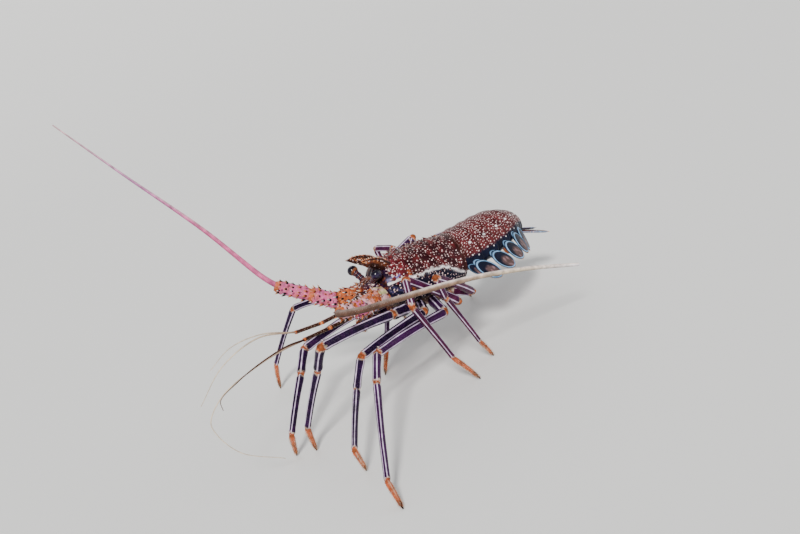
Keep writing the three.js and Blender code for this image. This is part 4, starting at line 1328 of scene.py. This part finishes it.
def make_leg(side_name, side, number, material):
    joints = leg_joints(side_name, side, number)
    hip, root, knee, wrist, toe_joint, foot = joints.values()
    thick, tone = LEG_PAIRS[number - 1][4:]
    name = f"leg_{side_name}_{number}"
    radii = [radius * thick for radius in UPPER_LEG_RADII]
    upper = Skin()
    add_leg_stretch(upper, hip, root, radii[0], radii[1], tone, 1.5 * MM, 2 * MM, 0.0)
    add_joint(upper, root, knee - root, radii[1])
    add_leg_stretch(upper, root, knee, radii[1], radii[2], tone, 2 * MM, 2.8 * MM)
    add_leg_spine(upper, knee, unit(knee - root), 6 * MM, 3.6 * MM * thick, 1.4, KNEE_SPINE, 1.1 * MM)
    make_piece(f"{name}_thigh", upper, material, [f"{name}_upper"])

    radii = [radius * thick for radius in LOWER_LEG_RADII]
    lower = Skin()
    for i, (start, end) in enumerate([(knee, wrist), (wrist, toe_joint)]):
        add_joint(lower, start, end - start, radii[i])
        add_leg_stretch(lower, start, end, radii[i], radii[i + 1], tone, 2 * MM, 2.4 * MM)
        add_leg_spine(lower, end, unit(end - start), 3 * MM, radii[i + 1] * 0.85, 1.2, 2.4 * MM, 0.7 * MM)
    add_joint(lower, toe_joint, foot - toe_joint, radii[2])
    path, toe_radii = add_toe(lower, toe_joint, foot + TOE_LIFT, radii[2] * 1.05)
    make_piece(f"{name}_shin", lower, material, [f"{name}_lower"])

    bristles = Skin()
    add_bristles(bristles, path, toe_radii, 2.5 * MM)
    make_piece(f"{name}_bristles", bristles, material, [f"{name}_lower"])


MOUTH_LEG_JOINTS = [(-0.28, 0.06, -0.27), (-0.42, 0.085, -0.3), (-0.58, 0.075, -0.24),
                    (-0.66, 0.05, -0.3), (-0.64, 0.04, -0.38)]
MOUTH_LEG_RADII = [3.6, 3.8, 3.4, 2.8, 1.1]


def make_mouth_leg(side_name, side, material):
    joints = [body_point(tail, side * right, rise) for tail, right, rise in MOUTH_LEG_JOINTS]
    skin = Skin()
    bristles = Skin()
    for i in range(4):
        start, end = joints[i], joints[i + 1]
        low, high = MOUTH_LEG_RADII[i] * MM, MOUTH_LEG_RADII[i + 1] * MM
        add_leg_stretch(skin, start, end, low, high, PURPLE, 1.5 * MM, 2 * MM)
        if i > 0:
            add_joint(skin, start, end - start, low)
            add_bristles(bristles, line_path(start, end, 22), np.linspace(low, high, 22), 3 * MM)
    name = f"mouth_leg_{side_name}"
    make_piece(f"{name}_shell", skin, material, [name])
    make_piece(f"{name}_bristles", bristles, material, [name])


def make_legs(material):
    for side_name, side in SIDES.items():
        make_mouth_leg(side_name, side, material)
        for number in range(1, len(LEG_PAIRS) + 1):
            make_leg(side_name, side, number, material)


# Tail: six ringed plates, each with a side lobe, curving toward the right side

TAIL_RINGS = [
    {"length": 0.16, "width": 0.345, "top": 0.285, "turn": 5, "pitch": -8},
    {"length": 0.19, "width": 0.345, "top": 0.295, "turn": 11, "pitch": -5},
    {"length": 0.185, "width": 0.335, "top": 0.295, "turn": 20, "pitch": -4},
    {"length": 0.18, "width": 0.32, "top": 0.285, "turn": 30, "pitch": -5},
    {"length": 0.17, "width": 0.3, "top": 0.26, "turn": 40, "pitch": -12},
    {"length": 0.2, "width": 0.27, "top": 0.225, "turn": 48, "pitch": -22},
]
TAIL_FLOOR = 0.14
FAN_PITCH = -26


def frame_of(origin, turn, pitch):
    turn = math.radians(turn)
    pitch = math.radians(pitch)
    along = np.array([math.cos(pitch) * math.cos(turn), math.cos(pitch) * math.sin(turn), math.sin(pitch)])
    right = np.array([-math.sin(turn), math.cos(turn), 0])
    return {"origin": origin, "along": along, "right": right, "rise": np.cross(along, right)}


def in_frame(place, tail, right, rise):
    axes = np.stack([place["along"], place["right"], place["rise"]])
    return place["origin"] + SHELL * (np.stack(np.broadcast_arrays(tail, right, rise), -1) @ axes)


def tail_seams():
    starts = []
    start = body_point(0.5, 0, 0.02)
    for ring in TAIL_RINGS:
        starts.append(start)
        start = in_frame(frame_of(start, ring["turn"], ring["pitch"]), ring["length"], 0.0, 0.0)
    last = TAIL_RINGS[-1]
    seams = [{"origin": starts[0], "along": TAILWARD, "right": RIGHTWARD, "rise": DORSAL}]
    for i in range(1, len(TAIL_RINGS)):
        before = TAIL_RINGS[i - 1]
        after = TAIL_RINGS[i]
        turn = (before["turn"] + after["turn"]) / 2
        seams.append(frame_of(starts[i], turn, (before["pitch"] + after["pitch"]) / 2))
    seams.append(frame_of(start, last["turn"] + 3, last["pitch"] - 4))
    return seams


SEAMS = tail_seams()


def ring_frame_at(i, share):
    near, far = SEAMS[i], SEAMS[i + 1]
    place = {key: near[key] * (1 - share) + far[key] * share for key in ("origin", "along", "right")}
    place["along"] = unit(place["along"])
    place["right"] = unit(place["right"])
    return {**place, "rise": np.cross(place["along"], place["right"])}


RING_ROWS = 60
RING_SIDES = 300
# How wide a ring swells along its length
RING_PROFILE_SHARES = [0.0, 0.08, 0.2, 0.26, 0.4, 0.52, 0.57, 0.62, 0.8, 0.92, 0.97, 1.0, 1.05]
RING_PROFILE_SWELLS = [0.93, 0.94, 0.955, 0.985, 1.0, 1.0, 0.978, 1.0, 1.012, 1.022, 1.032, 1.02, 0.96]
# Large pale spots on each side of a ring: share of the ring's length, height in degrees, radius
SIDE_SPOTS = [(0.66, 34, 1.5 * MM), (0.45, 9, 0.9 * MM), (0.8, 4, 0.7 * MM)]
# The last ring closes in a rounded end that starts at the first share and stops at the second
LAST_RING_TAPER = 0.72
LAST_RING_END = 1.14


def tail_section(place, width, top, angle, swell):
    side = np.cos(angle)
    rise = np.sin(angle)
    high = in_frame(place, 0.0, width * side * swell, top * rise * swell)
    squared = np.sign(side) * np.abs(side) ** 0.7
    low = in_frame(place, 0.0, width * squared * swell, -TAIL_FLOOR * np.abs(rise) ** 0.75)
    return np.where((rise >= 0)[..., None], high, low)


def ring_tints(i, share, angle, points):
    height = height_degrees(angle)
    front = smooth(0.25, 0.1, share)
    rear = smooth(0.90, 0.97, share) * smooth(6, 20, height)
    tints = paint(
        blend(TAIL_RED, TAIL_LIGHT, 0.5 + 0.5 * waves(points, 17 * MM, 51)),
        (BROWN, 0.7 * front),
        (MAROON, 0.85 * rear),
        (BLACK, 0.5 * bell(share, 0.57, 0.03) * smooth(10, 30, height)),
        (NIGHT_BLUE, smooth(14, 4, height)),
        (PATCH_BROWN, smooth(-30, -55, height)),
    )
    clear = 0.0
    for spot_share, spot_height, size in SIDE_SPOTS:
        gap_along = (share - spot_share) * TAIL_RINGS[i]["length"] * SHELL
        gap_around = np.radians(height - spot_height) * 0.31 * SHELL
        gap = np.hypot(gap_along, gap_around)
        tints = paint(tints, (WHITE, smooth(size, 0.75 * size, gap)))
        clear = np.maximum(clear, smooth(size + 1.2 * MM, size + 0.4 * MM, gap))
    marks = smooth(5, 14, height) * (1 - 0.7 * front) * (1 - 0.7 * rear) - clear
    return tints, np.clip(marks, 0, 1)


def add_ring_shell(skin, i):
    ring = TAIL_RINGS[i]
    after = TAIL_RINGS[min(i + 1, len(TAIL_RINGS) - 1)]
    shares = np.linspace(0, 1.05, RING_ROWS)
    if ring is after:
        shares = LAST_RING_END * np.sin(np.linspace(0, np.pi / 2, RING_ROWS))
    swells = np.interp(shares, RING_PROFILE_SHARES, RING_PROFILE_SWELLS)
    if ring is after:
        taper = np.clip((shares - LAST_RING_TAPER) / (LAST_RING_END - LAST_RING_TAPER), 0, 0.9999)
        swells = np.where(shares > LAST_RING_TAPER, 1.015, swells) * np.sqrt(1 - taper**2.2)
    angle = angles_from_below(RING_SIDES)
    sections = []
    for share, swell in zip(shares, swells):
        width, top = [ring[key] + (after[key] - ring[key]) * share for key in ("width", "top")]
        sections.append(tail_section(ring_frame_at(i, share), width, top, angle, swell))
    points = np.stack(sections)
    tints, marks = ring_tints(i, *np.meshgrid(shares, angle, indexing="ij"), points)
    skin.grid(points, tints, marks)


# Lobes: shares of the shell length, and the height of the dome, its rim and the hollow behind it
LOBE_DEPTH = 0.143
LOBE_LENGTH = 0.465
LOBE_SHEAR = -0.82
LOBE_SHIFT = -0.094
LOBE_DROP = 0.027
FIRST_LOBE_DEPTH = 0.08
FIRST_LOBE_SHIFT = -0.02
FIRST_LOBE_SIZE = 0.65
LOBE_LEAN = 0.06
LOBE_GAP = 0.004
LOBE_DOME = 1.5 * MM
LOBE_RIM = 0.5 * MM
LOBE_HOLLOW = 1.2 * MM
LOBE_ROWS = 34
LOBE_SIDES = 96
LOBE_BRISTLES = 46


def front_and_back(rows):
    """Shares from a plate's middle out to its edge and back, and which face each row lies on."""
    out = np.linspace(0.001, 1, rows)
    return np.concatenate([out, out[::-1]])[:, None], np.repeat([1.0, -1.0], rows)[:, None]


def add_lobe(skin, i, side, scale=1.0, forward=0.0, above=0.0, inward=0.0, rim_strength=1.0):
    """Side lobe: a domed oval plate with a pale-blue raised rim round a dark field and a brown patch."""
    ring = TAIL_RINGS[i]
    place = ring_frame_at(i, 0.5)
    along = place["along"]
    bend = math.acos(np.clip(SEAMS[i + 1]["along"] @ SEAMS[i]["along"], -1, 1)) * ring["width"]
    long = LOBE_LENGTH * (ring["length"] - side * bend) * SHELL
    depth, shift = LOBE_DEPTH, LOBE_SHIFT
    if i == 0:
        long *= FIRST_LOBE_SIZE
        depth, shift = FIRST_LOBE_DEPTH, FIRST_LOBE_SHIFT
    lean = unit(place["rise"] - side * LOBE_LEAN * place["right"])
    outward = -side * np.cross(along, lean)
    out = ring["width"] + LOBE_GAP - inward
    middle = in_frame(place, shift - forward, side * out, above - LOBE_DROP - depth)
    deep = depth * SHELL * scale
    long = long * scale
    radius, face = front_and_back(LOBE_ROWS)
    turn = 2 * np.pi * np.arange(LOBE_SIDES) / LOBE_SIDES
    across = radius * np.cos(turn)
    down = radius * np.sin(turn)
    dome = np.sqrt(np.maximum(1 - radius**2, 0))
    thick = np.where(face > 0, LOBE_DOME * dome + LOBE_RIM * bell(radius, 0.88, 0.05), -LOBE_HOLLOW * dome)
    reach = np.stack([across * long + LOBE_SHEAR * down * deep, down * deep, thick * np.ones_like(down)], -1)
    points = middle + reach @ np.stack([along, lean, outward])
    patch = smooth(0.72, 0.4, np.hypot(across - 0.12, down + 0.3))
    tints = paint(
        blend(NIGHT_BLUE, PATCH_BROWN, 0.55 * patch),
        (PALE_PINK, 0.2 * patch * blotches(points, 4, 57, 0.1, 0.6)),
        (PALE_BLUE, rim_strength * np.where(face > 0, bell(radius, 0.89, 0.045), 0.0)),
    )
    skin.grid(points, tints)
    for swing in np.radians(200 + 140 * np.arange(LOBE_BRISTLES) / (LOBE_BRISTLES - 1)):
        ahead = math.cos(swing)
        low = math.sin(swing)
        foot = middle + (ahead * long + LOBE_SHEAR * low * deep) * along + low * deep * lean
        away = unit(ahead * along + 1.4 * low * lean)
        add_bristle(skin, foot, away, rng.uniform(0.8, 1.5) * MM, 0.08 * MM, PALE_ORANGE)


def make_tail(material):
    for i in range(len(TAIL_RINGS)):
        skin = Skin()
        add_ring_shell(skin, i)
        for side in SIDES.values():
            add_lobe(skin, i, side, rim_strength=1.0 if i > 0 else 0.4)
            if i > 0:
                add_lobe(skin, i, side, scale=0.72, forward=0.055, above=0.06, inward=0.016, rim_strength=0.7)
        make_piece(f"tail_ring_{i + 1}_shell", skin, material, [f"tail_ring_{i + 1}"])


# Thin plates: the paddles of the fan and the leaves under the tail

PLATE_ROWS = 26
RIBS_ROUND = 60
EDGE_THICKNESS = 0.04 * MM


def add_plate(skin, outline, thickness, lie, tint_of, ribs, spotted=0.0):
    """Thin rounded plate from a closed outline in its own plane, with fine ribs on both faces."""
    share, face = front_and_back(PLATE_ROWS)
    hub = outline.mean(0)
    flat = hub + share[..., None] * (outline - hub)[None]
    half = thickness / 2 * np.sqrt(np.maximum(1 - share**6, 0.0)) + EDGE_THICKNESS
    wave = ribs * np.cos(np.arctan2(flat[..., 1], flat[..., 0] + 0.02) * RIBS_ROUND) * smooth(1.0, 0.9, share)
    lift = face * (half + wave)
    points = lie["origin"] + flat @ np.stack([lie["along"], lie["right"]]) + lift[..., None] * lie["rise"]
    marks = smooth(spotted, 0.7 * spotted, flat[..., 0]) if spotted else 0.0
    lays = np.concatenate([flat, np.zeros_like(flat[..., :1])], -1)
    skin.grid(points, tint_of(flat, share), marks, lays=lays)


FAN_PADDLES = [
    {"name": "telson", "side": 0, "out": 0, "turn": 0, "drop": 0.02, "long": 0.4, "wide": 0.14},
    {"name": "tail_fin_inner", "side": 1, "out": 0.13, "turn": 24, "drop": -0.025, "long": 0.4, "wide": 0.12},
    {"name": "tail_fin_outer", "side": 1, "out": 0.17, "turn": 46, "drop": -0.07, "long": 0.42, "wide": 0.14},
]
FIN_THICKNESS = 2 * MM
FIN_RIBS = 0.14 * MM
# The pale spots reach this far down a paddle, and these points of its outline carry the fringe
FIN_SPOTTED = 23 * MM
FIN_FRINGE = slice(20, 76)


def bezier(points, steps):
    share = np.linspace(0, 1, steps, endpoint=False)[:, None]
    a, b, c, d = [np.asarray(point, float) for point in points]
    rest = 1 - share
    return rest**3 * a + 3 * rest**2 * share * b + 3 * rest * share**2 * c + share**3 * d


def straight(a, b, steps):
    share = np.linspace(0, 1, steps, endpoint=False)[:, None]
    return np.asarray(a, float) * (1 - share) + np.asarray(b, float) * share


def paddle_outline(long, wide):
    root_left, root_right = (-0.05, -0.45 * wide), (-0.05, 0.45 * wide)
    hip_left, hip_right = (0.3 * long, -0.85 * wide), (0.3 * long, 0.85 * wide)
    end = (long, 0)
    return SHELL * np.concatenate([
        straight(root_left, hip_left, 12),
        bezier([hip_left, (0.75 * long, -1.15 * wide), (long, -0.95 * wide), end], 36),
        bezier([end, (long, 0.95 * wide), (0.75 * long, 1.15 * wide), hip_right], 36),
        straight(hip_right, root_right, 12),
        straight(root_right, root_left, 8),
    ])


def paddle_tints(flat, radius):
    reach = flat[..., 0] / SHELL
    spread = np.concatenate([flat, flat[..., :1]], -1)
    return paint(
        blend(DARK_RED, RED, 0.5 + 0.5 * waves(spread, 9 * MM, 61)),
        (ORANGE, 0.6 * smooth(0.33, 0.4, reach)),
        (BLACK, 0.8 * smooth(0.25, 0.29, reach) * smooth(0.37, 0.33, reach)),
        (PALE_BLUE, bell(reach, 0.25, 0.008) + 0.9 * bell(radius, 0.965, 0.02)),
    )


def make_fan(material):
    last = TAIL_RINGS[-1]
    for paddle in FAN_PADDLES:
        places = {"middle": 0} if paddle["side"] == 0 else SIDES
        outline = paddle_outline(paddle["long"], paddle["wide"])
        for side_name, side in places.items():
            hub = in_frame(SEAMS[-1], 0.0, side * paddle["out"], paddle["drop"])
            lie = frame_of(hub, last["turn"] + side * paddle["turn"], FAN_PITCH)
            plane = np.stack([lie["along"], lie["right"]])
            skin = Skin()
            add_plate(skin, outline, FIN_THICKNESS, lie, paddle_tints, FIN_RIBS, FIN_SPOTTED)
            for point in outline[FIN_FRINGE]:
                size = rng.uniform(1.0, 1.8) * MM
                away = (point - outline.mean(0)) @ plane
                add_bristle(skin, hub + point @ plane, away, size, 0.1 * MM, PALE_ORANGE)
            name = paddle["name"] if side == 0 else f"{paddle['name']}_{side_name}"
            make_piece(f"{name}_blade", skin, material, [name])


def leaf_tints(flat, radius):
    tints = blend(ORANGE, CREAM, smooth(0.72, 0.9, radius * np.ones_like(flat[..., 0])))
    return paint(tints, (PURPLE_BLACK, 0.5 * bell(radius, 0.66, 0.06)))


# Leaves: which rings carry them, their reach down and across, and how far off the ring they sit
LEAF_RINGS = range(1, 5)
LEAF_REACH = (7 * MM, 4.2 * MM)
LEAF_THICKNESS = 1.2 * MM
LEAF_RIBS = 0.08 * MM
LEAF_LIFT = 0.6 * MM
LEAF_SIDES = 64


def make_swimmerets(material):
    turn = 2 * np.pi * np.arange(LEAF_SIDES) / LEAF_SIDES
    outline = np.stack([np.cos(turn), np.sin(turn)], -1) * LEAF_REACH
    for i in LEAF_RINGS:
        ring = TAIL_RINGS[i]
        start = frame_of(SEAMS[i]["origin"], ring["turn"], ring["pitch"])
        down = unit(-start["rise"] + 0.55 * start["along"])
        outward = unit(np.cross(down, start["right"]))
        for side_name, side in SIDES.items():
            place = in_frame(start, ring["length"] * 0.45, side * (ring["width"] - 0.14), -TAIL_FLOOR - 0.045)
            place = place + LEAF_LIFT * outward
            lie = {"origin": place, "along": down, "right": start["right"], "rise": outward}
            skin = Skin()
            add_plate(skin, outline, LEAF_THICKNESS, lie, leaf_tints, LEAF_RIBS)
            name = f"swimmeret_{side_name}_{i + 1}"
            make_piece(f"{name}_leaf", skin, material, [name])


make_camera()
make_room()
make_lights()
finishes = make_materials()
make_carapace(finishes["shell"])
make_head_front(finishes["shell"])
make_eyes(finishes["eye"])
make_sternum(finishes["belly"])
make_big_feelers(finishes["feeler"])
make_small_feelers(finishes)
make_legs(finishes["leg"])
make_tail(finishes["tail"])
make_fan(finishes["fin"])
make_swimmerets(finishes["fin"])
